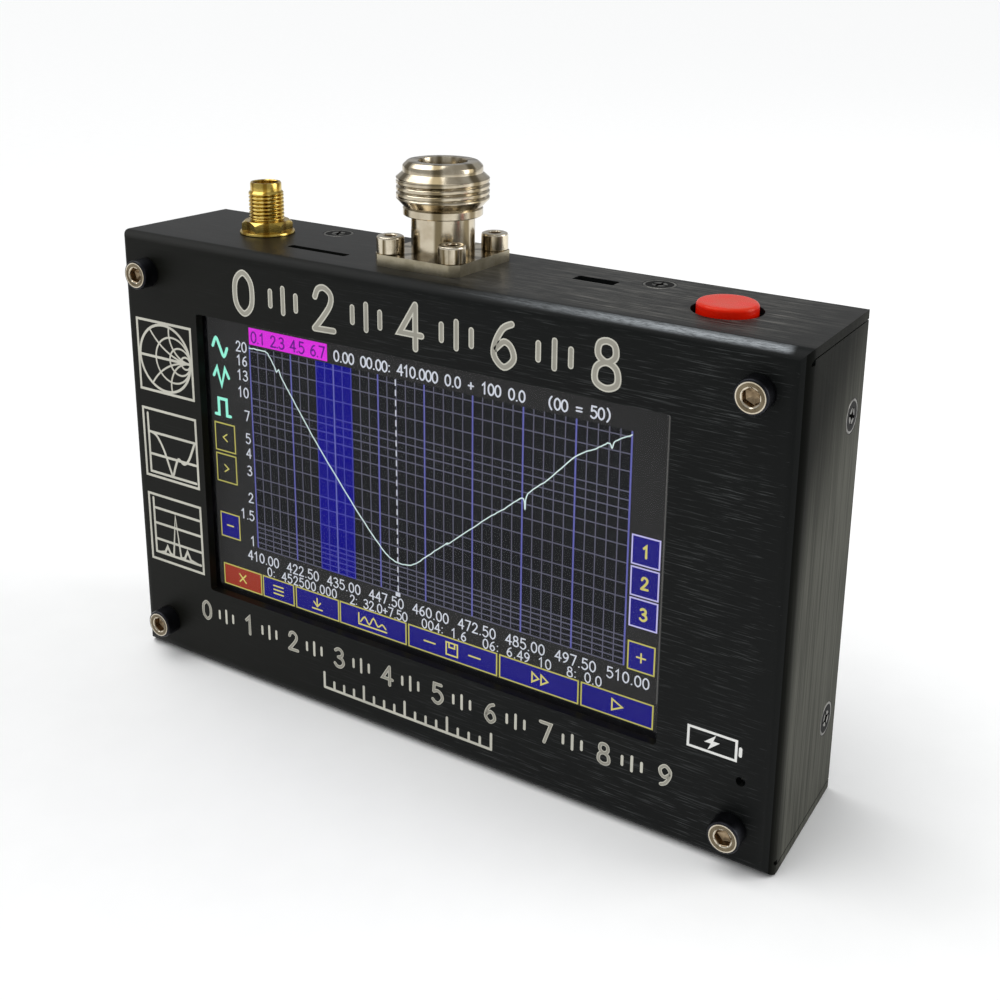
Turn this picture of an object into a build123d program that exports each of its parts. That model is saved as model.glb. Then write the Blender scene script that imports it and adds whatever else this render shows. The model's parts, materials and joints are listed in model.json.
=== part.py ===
"""Hand-held antenna analyzer: a folded aluminium case with a touch display in its
front, two coaxial sockets and a power button on its top, and two circuit boards,
a battery and the switch inside.

Millimetres. +X is to the right seen from the front, the front faces -Y and +Z is up.
The origin is the centre of the case's bottom face.
"""

from build123d import *
from math import cos, radians, sin, sqrt
import os

# ---------------------------------------------------------------- case
SHEET = 1.5                # front tray sheet
BEND_R = 2.5               # outside radius of the tray's bends
SEAM = 0.2                 # gap under the top and bottom flanges where the sides end
BEND_RELIEF = 0.2          # slot that ends each side bend short of the corner
COVER_SHEET = 1.5          # rear cover sheet
COVER_BEND_R = 2.0         # outside radius of the cover's tab bends
COVER_GAP = 0.2            # cover to tray, all round
TAB_W = 11.0               # cover tab, along its edge
TAB_DEPTH = 8.0            # cover tab, from the rear face forwards
TAB_RELIEF = 0.6           # slot each side of a tab
TAB_PITCH_X = 67.5         # between the two tabs of the top, and of the bottom
TAB_PITCH_Z = 53.0         # between the two tabs of each side
COVER_SCREW_INSET = 4.75   # screw line to the rear face

# ---------------------------------------------------------------- display
LCD_W = 105.5
LCD_H = 67.2
LCD_T = 3.0
LCD_SHIFT = -0.7           # the display sits a little left of the middle
LCD_RIM = 1.1              # wall of the display's pressed steel frame
LCD_GLASS_T = 1.8
TOUCH_T = 0.9
TOUCH_INSET = 0.4          # touch panel to the frame's outline
GASKET_T = 0.3
GASKET_EDGE = 1.0          # gasket to the display's outline
GASKET_SETBACK = 0.6       # gasket to the window's edge
WINDOW_IN_X = 4.85         # window's edge to the display's outline
WINDOW_IN_Z = 6.0
WINDOW_R = 0.6
SIDE_BAND = 14.75          # display to the outside of the case, left and right
TOP_BAND = 7.1
BOTTOM_BAND = 10.7
LCD_TAPE_T = 3.8           # foam tape between the display and its board
LCD_TAPE_W = 8.0
LCD_TAPE_H = 50.0
LCD_TAPE_PITCH = 80.0
RIBBON_W = 24.0
RIBBON_T = 0.3
RIBBON_DROP = 2.0          # straight run below the display before the ribbon turns
RIBBON_SOCKET_H = 2.0
RIBBON_SOCKET_W = 28.0
RIBBON_SOCKET_L = 5.0
RIBBON_SOCKET_RISE = 1.3   # socket's mouth above the display's lower edge

# ---------------------------------------------------------------- boards
BOARD_T = 1.6
BOARD_GAP = 4.5            # main board's back to the radio board's front
BATTERY_BAY = 8.3          # radio board's back to the rear cover
BOARD_SIDE_GAP = 1.0
BOARD_END_GAP = 2.5
FIT = 0.05                 # clearance of a close fit, per side
FLATS = 12                 # sides of small screws, pins and their holes

# ---------------------------------------------------------------- fasteners
M3_R = 1.5
M3_HOLE_R = 1.6
M3_HEAD_R = 2.75
M3_HEAD_H = 3.0
M3_SOCKET_AF = 2.5
M3_SINK_R = 2.8            # countersunk head
COVER_SCREW_L = 5.0
CORNER_SCREW_IN_X = 7.1    # corner screws to the sides of the case
CORNER_SCREW_IN_Z = 7.0    # corner screws to the top and bottom
PANEL_SCREW_GRIP = 3.5     # length held in the front standoff
STUD_GRIP = 3.4            # rear standoff's stud, held in the front standoff
STANDOFF_AF = 5.5
BOARD_SCREW_HEAD_R = 2.75
BOARD_SCREW_HEAD_H = 1.9
BOARD_SCREW_ROUND = 0.8
BOARD_SCREW_TIP = 1.1      # left free at the bottom of the rear standoff
STANDOFF_FLOOR = 0.6
SOCKET_DEPTH = 0.55        # a cap screw's hexagon, as a share of its head's height

# ---------------------------------------------------------------- N socket
NTYPE_X = -4.0
NTYPE_FLANGE = 17.5
NTYPE_FLANGE_T = 2.0
NTYPE_FLANGE_CHAMFER = 1.4
NTYPE_HOLE_PITCH = 12.7
NTYPE_BASE_R = 5.45
NTYPE_BASE_L = 6.4
NTYPE_COLLAR_R = 6.8
NTYPE_COLLAR_L = 1.4
NTYPE_RUNOUT_L = 1.5
NTYPE_THREAD_R = 7.9375        # five eighths of an inch across the thread
NTYPE_THREAD_L = 3.5
NTYPE_LEAD_L = 1.0
NTYPE_NOSE_R = 6.8
NTYPE_NOSE_L = 1.8
NTYPE_BORE_R = 4.1
NTYPE_BORE_DEPTH = 9.0
NTYPE_SPIGOT_R = 4.4
NTYPE_SPIGOT_L = 3.0
NTYPE_INSULATOR_R = 3.4
NTYPE_INSULATOR_TAIL = 3.0     # insulator past the spigot
NTYPE_CONTACT_R = 1.52
NTYPE_CONTACT_BORE_R = 0.83
NTYPE_CONTACT_RECESS = 4.0     # contact's tip below the mouth
NTYPE_CONTACT_SLOT = 0.3
NTYPE_TAIL_R = 1.0
NTYPE_TAIL_L = 4.5
NTYPE_NOTCH = 22.0             # main board's notch under the flange
NTYPE_NOTCH_DEPTH = 4.5        # below the case's inner top
NTYPE_SCREW_R = 1.25
NTYPE_SCREW_HOLE_R = 1.35
NTYPE_SCREW_HEAD_R = 2.35
NTYPE_SCREW_HEAD_H = 3.0
NTYPE_SCREW_SOCKET_AF = 2.0
NTYPE_SCREW_L = 8.0
NTYPE_NUT_AF = 5.0
NTYPE_NUT_H = 2.0

# ---------------------------------------------------------------- SMA socket
SMA_IN_X = 22.9            # to the left side of the case
SMA_THREAD_R = 3.175       # a quarter of an inch across the thread
SMA_GRIP_R = 2.95          # thread's mean radius, where the nut holds it
SMA_GRIP_END = 0.3         # above the nut
SMA_THREAD_TOP = 8.05      # above the case
SMA_NOSE_R = 2.7
SMA_NOSE_L = 1.6
SMA_HOLE_R = 3.25
SMA_FLANGE_R = 4.0
SMA_FLANGE_T = 2.0
SMA_MOUTH_R = 2.3
SMA_MOUTH_DEPTH = 1.9
SMA_INSULATOR_R = 2.05
SMA_CONTACT_R = 0.635
SMA_CONTACT_BORE_R = 0.46
SMA_TAIL_L = 4.0
SMA_WASHER_R = 5.0
SMA_WASHER_T = 0.6
SMA_NUT_AF = 8.0
SMA_NUT_H = 1.9
SMA_NUT_TURN = 45.0        # a flat of the nut faces the front right corner

# ---------------------------------------------------------------- power button
BUTTON_IN_X = 18.2         # to the right side of the case
BUTTON_TRAVEL = 1.5
CAP_R = 5.15
CAP_RISE = 2.0             # cap above the case at rest
CAP_H = 4.5
CAP_WALL = 1.05
CAP_TOP = 1.4
CAP_BEVEL = 0.6            # cap's rounded edge, drawn as one flat
CAP_HOLE_GAP = 0.55
CAP_BOSS_R = 2.3
PLUNGER = 2.2              # square shaft
SWITCH = 5.8               # square housing
SWITCH_WALL = 0.7
PRESSED_GAP = 1.5          # cap's boss to the housing when pressed
STEM_END_GAP = 0.85        # stem to the housing's floor when pressed
SHAFT_GAP = 0.15
COLLAR = 4.0
COLLAR_H = 1.6
STEM_R = 0.8
STEM_L = 3.6
SPRING_WIRE = 0.35         # square wire
SPRING_R = 1.5             # to the wire's middle
SPRING_TURNS = 3
SPRING_SEAT_GAP = 0.05
SWITCH_NOTCH_GAP = 0.6

# ---------------------------------------------------------------- sockets and lamp
CARD_X = -26.9
CARD_SOCKET_W = 14.0
CARD_SOCKET_L = 15.0
CARD_SOCKET_H = 1.5
CARD_W = 11.2
CARD_T = 0.8
CARD_SLOT_W = 13.2
CARD_SLOT_T = 1.7
CARD_DEPTH = 12.5
USB_X = 23.9
USB_W = 7.5
USB_T = 2.5
USB_L = 6.5
USB_WALL = 0.35
USB_TONGUE_W = 4.6
USB_TONGUE_T = 0.7
USB_SLOT_GAP = 0.1
SOCKET_TOP_GAP = 0.6       # sockets' mouths to the inside of the case
LED_IN_X = 5.9             # to the right side of the case
LED_Z = 15.6
LED_R = 1.5
LED_RIM_R = 1.9
LED_RIM_T = 1.0
LED_L = 5.3
LED_LEG = 0.5
LED_LEG_PITCH = 2.0
LED_HOLE_R = 0.8
LED_TIP_GAP = 0.3

# ---------------------------------------------------------------- chips
PROCESSOR = 14.0
PROCESSOR_T = 1.4
PROCESSOR_X = 12.0
PROCESSOR_UP = -2.5        # from the board's middle
LEAD_PITCH = 2.0
LEAD_W = 0.8
LEAD_T = 0.3
LEAD_REACH = 1.0
CHIP_BEVEL = 0.15
MEMORY_X = 34.0
MEMORY_UP = 1.5
MEMORY_W = 5.2
MEMORY_L = 5.2
MEMORY_T = 1.7
CRYSTAL_X = 12.0
CRYSTAL_UP = 13.5
CRYSTAL_L = 11.0
CRYSTAL_W = 4.6
CRYSTAL_T = 3.4
LINK_X = -34.0
LINK_W = 5.0
LINK_PINS = 8
LINK_PITCH = 2.54
LINK_PIN = 0.64
LINK_PLUG_T = 2.5          # lower half of the board-to-board connector
LINK_END = 0.5             # plastic past its end pins
SHIELD_X = -5.0
SHIELD_DROP = 5.1          # below the radio board's top edge
SHIELD_W = 34.0
SHIELD_H = 18.0
SHIELD_T = 2.6
SHIELD_WALL = 0.5
SHIELD_LID = 0.3
SHIELD_SKIRT = 1.6
SYNTH = 7.0
SYNTH_T = 1.0
CHARGER_X = 23.9
CHARGER_DROP = 11.5
CHARGER_W = 5.0
CHARGER_T = 1.5
INDUCTOR_X = 31.5
INDUCTOR_DROP = 14.5
INDUCTOR = 5.0
INDUCTOR_T = 3.0

# ---------------------------------------------------------------- battery
BATTERY_W = 62.0
BATTERY_Z = 10.0           # lower edge
BATTERY_AIR = 1.0          # battery to the radio board
BATTERY_ROUND = 1.5
PAD_T = 0.8                # double-sided tape on the rear cover
PAD_INSET = 6.0
GUARD_W = 40.0             # protection board along the battery's top
GUARD_H = 3.4
GUARD_T = 1.0
SHIELD_GAP = 2.0           # protection board to the shield
PLUG_X = 41.0
PLUG_W = 7.9
PLUG_T = 4.8
PLUG_SOCKET_DROP = 18.5    # its lower end below the radio board's top edge
PLUG_SOCKET_L = 7.6
PLUG_WALL = 0.7
PLUG_L = 9.0
PLUG_INSERT = 6.0
WIRE_R = 0.6               # to the corners of its hexagonal section
WIRE_PITCH = 2.0
WIRE_STEP = 1.6            # between the wires where they leave the battery
WIRE_RISE = 1.0            # lower wire above the battery
WIRE_BEND_R = 3.6

# ---------------------------------------------------------------- worked-out sizes
CASE_W = LCD_W + 2 * SIDE_BAND
CASE_H = LCD_H + TOP_BAND + BOTTOM_BAND
DISPLAY_STACK = GASKET_T + TOUCH_T + LCD_T + LCD_TAPE_T
CASE_D = SHEET + DISPLAY_STACK + BOARD_T + BOARD_GAP + BOARD_T + BATTERY_BAY + COVER_SHEET

FRONT = -CASE_D / 2
PANEL_IN = FRONT + SHEET
TOUCH_FRONT = PANEL_IN + GASKET_T
LCD_FRONT = TOUCH_FRONT + TOUCH_T
LCD_BACK = LCD_FRONT + LCD_T
MAIN_FRONT = LCD_BACK + LCD_TAPE_T
MAIN_BACK = MAIN_FRONT + BOARD_T
RF_FRONT = MAIN_BACK + BOARD_GAP
RF_BACK = RF_FRONT + BOARD_T
COVER_IN = RF_BACK + BATTERY_BAY
BACK = COVER_IN + COVER_SHEET

SIDE = CASE_W / 2
SIDE_IN = SIDE - SHEET
TOP_IN = CASE_H - SHEET
LCD_Z = BOTTOM_BAND + LCD_H / 2
WINDOW_W = LCD_W - 2 * WINDOW_IN_X
WINDOW_H = LCD_H - 2 * WINDOW_IN_Z
BOARD_SIDE = SIDE_IN - BOARD_SIDE_GAP
BOARD_BOTTOM = SHEET + BOARD_END_GAP
BOARD_TOP = TOP_IN - BOARD_END_GAP
BOARD_MIDDLE = (BOARD_BOTTOM + BOARD_TOP) / 2
CORNER_X = SIDE - CORNER_SCREW_IN_X
CORNER_Z = (CORNER_SCREW_IN_Z, CASE_H - CORNER_SCREW_IN_Z)
CORNERS = [(x, z) for x in (-CORNER_X, CORNER_X) for z in CORNER_Z]

NTYPE_Y = RF_FRONT - NTYPE_TAIL_R - FIT
NTYPE_TOP = (CASE_H + NTYPE_FLANGE_T + NTYPE_BASE_L + NTYPE_COLLAR_L + NTYPE_RUNOUT_L
             + NTYPE_THREAD_L + NTYPE_LEAD_L + NTYPE_NOSE_L)
NTYPE_FLOOR = NTYPE_TOP - NTYPE_BORE_DEPTH
NTYPE_TAIL_TOP = CASE_H - NTYPE_SPIGOT_L - NTYPE_INSULATOR_TAIL
NTYPE_SCREWS = [(NTYPE_X + sx * NTYPE_HOLE_PITCH / 2, NTYPE_Y + sy * NTYPE_HOLE_PITCH / 2)
                for sx in (-1, 1) for sy in (-1, 1)]
SMA_X = -SIDE + SMA_IN_X
SMA_Y = RF_FRONT - SMA_CONTACT_R - FIT
SMA_TOP = CASE_H + SMA_THREAD_TOP + SMA_NOSE_L
SMA_BOTTOM = TOP_IN - SMA_FLANGE_T

BUTTON_X = SIDE - BUTTON_IN_X
BUTTON_Y = MAIN_BACK + SWITCH / 2
CAP_BOTTOM = CASE_H + CAP_RISE - CAP_H
SWITCH_TOP = CAP_BOTTOM - BUTTON_TRAVEL - PRESSED_GAP
COLLAR_TOP = SWITCH_TOP - SWITCH_WALL - FIT
COLLAR_BOTTOM = COLLAR_TOP - COLLAR_H
SWITCH_BOTTOM = COLLAR_BOTTOM - STEM_L - BUTTON_TRAVEL - STEM_END_GAP - SWITCH_WALL
PLUNGER_TOP = CASE_H + CAP_RISE - CAP_TOP - FIT

LED_X = SIDE - LED_IN_X
CARD_Y = MAIN_FRONT - CARD_SOCKET_H / 2
USB_Y = RF_BACK + USB_T / 2
SOCKET_TOP = TOP_IN - SOCKET_TOP_GAP
BATTERY_BACK = COVER_IN - PAD_T
BATTERY_FRONT = RF_BACK + BATTERY_AIR
SHIELD_Z = BOARD_TOP - SHIELD_DROP - SHIELD_H
BATTERY_TOP = SHIELD_Z - SHIELD_GAP - GUARD_H
PLUG_Y = RF_BACK + PLUG_T / 2
PLUG_SOCKET_Z = BOARD_TOP - PLUG_SOCKET_DROP
PLUG_TOP = PLUG_SOCKET_Z + PLUG_INSERT - FIT
PLUG_BOTTOM = PLUG_TOP - PLUG_L

LOW = (Align.MIN, Align.MIN)
UP = Vector(0, 0, 1)
DOWN = Vector(0, 0, -1)
REARWARD = Vector(0, 1, 0)
FORWARD = Vector(0, -1, 0)


# ---------------------------------------------------------------- helpers
def block(x, y, z):
    """A box between the two values given for each axis."""
    size = Box(x[1] - x[0], y[1] - y[0], z[1] - z[0], align=(Align.MIN,) * 3)
    return Pos(x[0], y[0], z[0]) * size


def around(middle, width):
    """The two ends of a width set about its middle."""
    return (middle - width / 2, middle + width / 2)


def rod(radius, start, end):
    """A cylinder from one point to another."""
    start, end = Vector(*start), Vector(*end)
    axis = Plane(origin=start, z_dir=end - start)
    return axis * extrude(Circle(radius), (end - start).length)


def on_turn(n, radius, z):
    """Corner n of a round drawn with flats about Z."""
    angle = radians(360 * n / FLATS)
    return Vector(radius * cos(angle), radius * sin(angle), z)


def stepped_pin(levels):
    """A small turned body on Z, drawn with flats, through (radius, height) levels."""
    rings = [[on_turn(n, r, z) for n in range(FLATS)] for r, z in levels]
    faces = [Face(Wire.make_polygon(ring)) for ring in (rings[0], rings[-1])]
    for low, high in zip(rings, rings[1:]):
        for n in range(FLATS):
            corners = [low[n - 1], low[n], high[n], high[n - 1]]
            faces.append(Face(Wire.make_polygon(corners)))
    return Solid(Shell(faces)).clean()


def pin(radius, start, end):
    """A small round bar from one point to another, drawn with flats."""
    start, end = Vector(*start), Vector(*end)
    bar = stepped_pin([(radius, 0), (radius, (end - start).length)])
    return Plane(origin=start, z_dir=end - start) * bar


def hex_prism(across_flats, start, end):
    """A hexagonal bar from one point to another."""
    start, end = Vector(*start), Vector(*end)
    axis = Plane(origin=start, z_dir=end - start)
    return axis * extrude(RegularPolygon(across_flats / sqrt(3), 6), (end - start).length)


def turned(profile):
    """A body of revolution about Z from (radius, height) points."""
    face = make_face(Plane.XZ * Polyline(*profile, close=True))
    return revolve(face, axis=Axis.Z)


def round_over(radius, top, bevel):
    """Profile points of a disc's rounded upper edge, in two flats."""
    steps = [radians(angle) for angle in (0, 45, 90)]
    return [(radius - bevel * (1 - cos(a)), top - bevel * (1 - sin(a))) for a in steps]


def group(parts):
    """Separate solids of one node."""
    return Compound(children=[solid for part in parts for solid in part.solids()])


def flange_profile(radius, sheet, depth, with_bend=True, with_leg=True):
    """Section of a bent flange: x runs along the flange, y runs inwards."""
    ring = Pos(radius, radius) * (Circle(radius) - Circle(radius - sheet))
    bend = ring & Rectangle(radius, radius, align=LOW)
    leg = Pos(radius, 0) * Rectangle(depth - radius, sheet, align=LOW)
    if with_bend and with_leg:
        return bend + leg
    return bend if with_bend else leg


def folded(edge, along, inward, profile, run):
    """A flange section drawn out along its edge, centred on the edge's point."""
    across = along.cross(inward)
    plane = Plane(origin=edge - across * (run / 2), x_dir=along, z_dir=across)
    return plane * extrude(profile, run)


def at(point, axis, part):
    """A part made about Z at the origin, set at a point with its Z along the axis."""
    return Plane(origin=point, z_dir=axis) * part


# ---------------------------------------------------------------- screws
def socket_cap_screw(head_r, head_h, shank_r, shank_l, socket_af):
    """Cap screw seated at z = 0, with a hexagonal socket."""
    screw = stepped_pin([(shank_r, -shank_l), (shank_r, 0), (head_r, 0), (head_r, head_h)])
    floor = head_h * (1 - SOCKET_DEPTH)
    return screw - hex_prism(socket_af, (0, 0, floor), (0, 0, head_h))


def countersunk_screw():
    """Cover screw, its flat head flush at z = 0."""
    cone_end = M3_SINK_R - M3_R
    return stepped_pin([(M3_R, -COVER_SCREW_L), (M3_R, -cone_end), (M3_SINK_R, 0)])


def countersink():
    """Room for a cover screw in the tray's sheet, reaching past both its faces."""
    past = SHEET / 2
    rim = M3_SINK_R + 2 * FIT
    return stepped_pin([(M3_HOLE_R, -SHEET - past), (M3_HOLE_R, M3_HOLE_R - rim), (rim, 0),
                        (rim + past, past)])


def cover_tabs():
    """Middle of each tab on the case's surface, and the direction inwards."""
    y = BACK - COVER_SCREW_INSET
    tabs = []
    for side in (-1, 1):
        x = side * TAB_PITCH_X / 2
        tabs.append((Vector(x, y, CASE_H), DOWN))
        tabs.append((Vector(x, y, 0), UP))
        z = CASE_H / 2 + side * TAB_PITCH_Z / 2
        tabs.append((Vector(SIDE, y, z), Vector(-1, 0, 0)))
        tabs.append((Vector(-SIDE, y, z), Vector(1, 0, 0)))
    return tabs


def cover_screws():
    return group([at(point, -inward, countersunk_screw()) for point, inward in cover_tabs()])


def panel_screws():
    """Corner cap screws of the front, standing proud of it."""
    screw = socket_cap_screw(M3_HEAD_R, M3_HEAD_H, M3_R, SHEET + PANEL_SCREW_GRIP, M3_SOCKET_AF)
    return group([at((x, FRONT, z), FORWARD, screw) for x, z in CORNERS])


def n_flange_screws():
    screw = socket_cap_screw(NTYPE_SCREW_HEAD_R, NTYPE_SCREW_HEAD_H, NTYPE_SCREW_R, NTYPE_SCREW_L,
                             NTYPE_SCREW_SOCKET_AF)
    return group([Pos(x, y, CASE_H + NTYPE_FLANGE_T) * screw for x, y in NTYPE_SCREWS])


def n_flange_nuts():
    nuts = []
    for x, y in NTYPE_SCREWS:
        nut = hex_prism(NTYPE_NUT_AF, (x, y, TOP_IN - NTYPE_NUT_H), (x, y, TOP_IN))
        nuts.append(nut - pin(NTYPE_SCREW_R + FIT, (x, y, TOP_IN - NTYPE_NUT_H), (x, y, TOP_IN)))
    return group(nuts)


# ---------------------------------------------------------------- case
def front_shell():
    """Tray folded from one sheet: the front with a flange along each edge. The top
    and bottom flanges cover the ends of the side flanges, and their corners follow
    the side bends."""
    inner = BEND_R + BEND_RELIEF
    shell = block((-SIDE + BEND_R, SIDE - BEND_R), (FRONT, PANEL_IN), (BEND_R, CASE_H - BEND_R))
    whole = flange_profile(BEND_R, SHEET, CASE_D)
    shell += folded(Vector(0, FRONT, CASE_H), REARWARD, DOWN, whole, CASE_W)
    shell += folded(Vector(0, FRONT, 0), REARWARD, UP, whole, CASE_W)
    bend = flange_profile(BEND_R, SHEET, CASE_D, with_leg=False)
    leg = flange_profile(BEND_R, SHEET, CASE_D, with_bend=False)
    for side in (-1, 1):
        edge = Vector(side * SIDE, FRONT, CASE_H / 2)
        inward = Vector(-side, 0, 0)
        shell += folded(edge, REARWARD, inward, bend, CASE_H - 2 * inner)
        shell += folded(edge, REARWARD, inward, leg, CASE_H - 2 * (SHEET + SEAM))
        shell -= corner_round(side, (0, inner)) + corner_round(side, (CASE_H - inner, CASE_H))
    return shell - front_openings() - top_openings() - cover_screw_holes()


def corner_round(side, z):
    """What is taken off a flange's front corner to round it like the side bend."""
    x, y = side * (SIDE - BEND_R), FRONT + BEND_R
    corner = block(sorted((x, side * SIDE)), (FRONT, y), z)
    return corner - rod(BEND_R, (x, y, z[0]), (x, y, z[1]))


def front_openings():
    window = Plane(origin=(LCD_SHIFT, FRONT, LCD_Z), x_dir=(1, 0, 0), z_dir=REARWARD)
    cuts = window * extrude(RectangleRounded(WINDOW_W, WINDOW_H, WINDOW_R), SHEET)
    for x, z in CORNERS:
        cuts += pin(M3_HOLE_R, (x, FRONT, z), (x, PANEL_IN, z))
    return cuts + pin(LED_HOLE_R, (LED_X, FRONT, LED_Z), (LED_X, PANEL_IN, LED_Z))


def top_openings():
    depth = (TOP_IN, CASE_H)
    cuts = block(around(CARD_X, CARD_SLOT_W), around(CARD_Y, CARD_SLOT_T), depth)
    usb_slot = (USB_W + 2 * USB_SLOT_GAP, USB_T + 2 * USB_SLOT_GAP)
    cuts += block(around(USB_X, usb_slot[0]), around(USB_Y, usb_slot[1]), depth)
    for x, y, radius in [(SMA_X, SMA_Y, SMA_HOLE_R), (BUTTON_X, BUTTON_Y, CAP_R + CAP_HOLE_GAP)]:
        cuts += rod(radius, (x, y, TOP_IN), (x, y, CASE_H))
    cuts += pin(NTYPE_SPIGOT_R + FIT, (NTYPE_X, NTYPE_Y, TOP_IN), (NTYPE_X, NTYPE_Y, CASE_H))
    for x, y in NTYPE_SCREWS:
        cuts += pin(NTYPE_SCREW_HOLE_R, (x, y, TOP_IN), (x, y, CASE_H))
    return cuts


def cover_screw_holes():
    holes = [at(point, -inward, countersink()) for point, inward in cover_tabs()]
    return holes[0] + holes[1:]


def rear_cover():
    """Flat plate inside the tray's rear edge, with eight bent and tapped tabs."""
    half_w = SIDE_IN - COVER_GAP
    low, high = SHEET + COVER_GAP, TOP_IN - COVER_GAP
    cover = block((-half_w, half_w), (COVER_IN, BACK), (low, high))
    profile = flange_profile(COVER_BEND_R, COVER_SHEET, TAB_DEPTH)
    tabs = []
    for point, inward in cover_tabs():
        edge = point + inward * (SHEET + COVER_GAP)
        edge = Vector(edge.X, BACK, edge.Z)
        along = FORWARD.cross(inward)
        tabs.append(folded(edge, FORWARD, inward, profile, TAB_W))
        notch = Plane(origin=edge, x_dir=along, z_dir=inward)
        room = Box(TAB_W + 2 * TAB_RELIEF, 4 * COVER_SHEET, COVER_BEND_R,
                   align=(Align.CENTER, Align.CENTER, Align.MIN))
        cover -= notch * room
    for (point, inward), tab in zip(cover_tabs(), tabs):
        start = point + inward * SHEET
        end = start + inward * (COVER_GAP + 2 * COVER_SHEET)
        cover += tab - pin(M3_R + 2 * FIT, start, end)
    return cover


# ---------------------------------------------------------------- display
def window_gasket():
    """Foam frame between the tray and the touch panel."""
    y = (PANEL_IN, TOUCH_FRONT)
    outer = block(around(LCD_SHIFT, LCD_W - 2 * GASKET_EDGE), y,
                  around(LCD_Z, LCD_H - 2 * GASKET_EDGE))
    return outer - block(around(LCD_SHIFT, WINDOW_W + 2 * GASKET_SETBACK), y,
                         around(LCD_Z, WINDOW_H + 2 * GASKET_SETBACK))


def touch_panel():
    return block(around(LCD_SHIFT, LCD_W - 2 * TOUCH_INSET), (TOUCH_FRONT, LCD_FRONT),
                 around(LCD_Z, LCD_H - 2 * TOUCH_INSET))


def lcd_glass():
    """Liquid crystal cell, in the front of the steel frame."""
    width = LCD_W - 2 * (LCD_RIM + FIT)
    height = LCD_H - 2 * (LCD_RIM + FIT)
    return block(around(LCD_SHIFT, width), (LCD_FRONT, LCD_FRONT + LCD_GLASS_T),
                 around(LCD_Z, height))


def lcd_frame():
    """Pressed steel tray that holds the cell and its backlight."""
    tray = block(around(LCD_SHIFT, LCD_W), (LCD_FRONT, LCD_BACK), around(LCD_Z, LCD_H))
    return tray - block(around(LCD_SHIFT, LCD_W - 2 * LCD_RIM),
                        (LCD_FRONT, LCD_FRONT + LCD_GLASS_T),
                        around(LCD_Z, LCD_H - 2 * LCD_RIM))


def lcd_tape():
    """Two strips of foam tape that hold the display to the main board."""
    strips = []
    for side in (-1, 1):
        x = LCD_SHIFT + side * LCD_TAPE_PITCH / 2
        strips.append(block(around(x, LCD_TAPE_W), (LCD_BACK, MAIN_FRONT),
                            around(LCD_Z, LCD_TAPE_H)))
    return group(strips)


def ribbon_rise():
    """Height of the ribbon socket's mouth."""
    return BOTTOM_BAND + RIBBON_SOCKET_RISE


def lcd_ribbon():
    """Flat ribbon that leaves the display's lower edge and turns back up."""
    front_leg = LCD_BACK - 2 * RIBBON_T
    rear_leg = MAIN_FRONT - RIBBON_SOCKET_H / 2
    turn_r = (rear_leg - front_leg) / 2
    turn_z = BOTTOM_BAND - RIBBON_DROP
    ring = Circle(turn_r + RIBBON_T / 2) - Circle(turn_r - RIBBON_T / 2)
    half = Rectangle(4 * turn_r, 2 * turn_r, align=(Align.CENTER, Align.MAX))
    section = ring & half
    section += Pos(-turn_r, 0) * Rectangle(RIBBON_T, RIBBON_DROP, align=(Align.CENTER, Align.MIN))
    section += Pos(turn_r, 0) * Rectangle(RIBBON_T, ribbon_rise() - turn_z,
                                          align=(Align.CENTER, Align.MIN))
    middle = Vector(LCD_SHIFT - RIBBON_W / 2, front_leg + turn_r, turn_z)
    return Plane(origin=middle, x_dir=REARWARD, z_dir=(1, 0, 0)) * extrude(section, RIBBON_W)


def ribbon_socket():
    z = (ribbon_rise(), ribbon_rise() + RIBBON_SOCKET_L)
    body = block(around(LCD_SHIFT, RIBBON_SOCKET_W), (MAIN_FRONT - RIBBON_SOCKET_H, MAIN_FRONT), z)
    latch = body.edges().filter_by(Axis.X).sort_by(Axis.Y)[:2]
    return chamfer(latch, RIBBON_SOCKET_H / 4)


# ---------------------------------------------------------------- boards
def board(front):
    """Circuit board with its four corner holes."""
    plate = block((-BOARD_SIDE, BOARD_SIDE), (front, front + BOARD_T), (BOARD_BOTTOM, BOARD_TOP))
    for x, z in CORNERS:
        plate -= pin(M3_HOLE_R, (x, front, z), (x, front + BOARD_T, z))
    return plate


def main_board():
    """Display board, notched under the N socket."""
    notch = block(around(NTYPE_X, NTYPE_NOTCH), (MAIN_FRONT, MAIN_BACK),
                  (TOP_IN - NTYPE_NOTCH_DEPTH, BOARD_TOP))
    return board(MAIN_FRONT) - notch


def rf_board():
    """Radio board, notched round the N socket's tail and the switch."""
    y = (RF_FRONT, RF_BACK)
    plate = board(RF_FRONT)
    tail = 2 * (NTYPE_INSULATOR_R + NTYPE_TAIL_R)
    plate -= block(around(NTYPE_X, tail), y, (NTYPE_TAIL_TOP - FIT, BOARD_TOP))
    switch_room = SWITCH + 2 * SWITCH_NOTCH_GAP
    plate -= block(around(BUTTON_X, switch_room), y,
                   (SWITCH_BOTTOM - SWITCH_NOTCH_GAP, BOARD_TOP))
    return plate


def front_standoffs():
    """Hexagonal pillars from the tray's front to the main board."""
    pillars = []
    for x, z in CORNERS:
        ends = ((x, PANEL_IN, z), (x, MAIN_FRONT, z))
        pillars.append(hex_prism(STANDOFF_AF, *ends) - pin(M3_R + FIT, *ends))
    return group(pillars)


def rear_standoffs():
    """Pillars between the boards, each with a stud through the main board."""
    pillars = []
    for x, z in CORNERS:
        pillar = hex_prism(STANDOFF_AF, (x, MAIN_BACK, z), (x, RF_FRONT, z))
        pillar -= pin(M3_R + FIT, (x, MAIN_BACK + STANDOFF_FLOOR, z), (x, RF_FRONT, z))
        pillar += pin(M3_R, (x, MAIN_FRONT - STUD_GRIP, z), (x, MAIN_BACK, z))
        pillars.append(pillar)
    return group(pillars)


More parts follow.
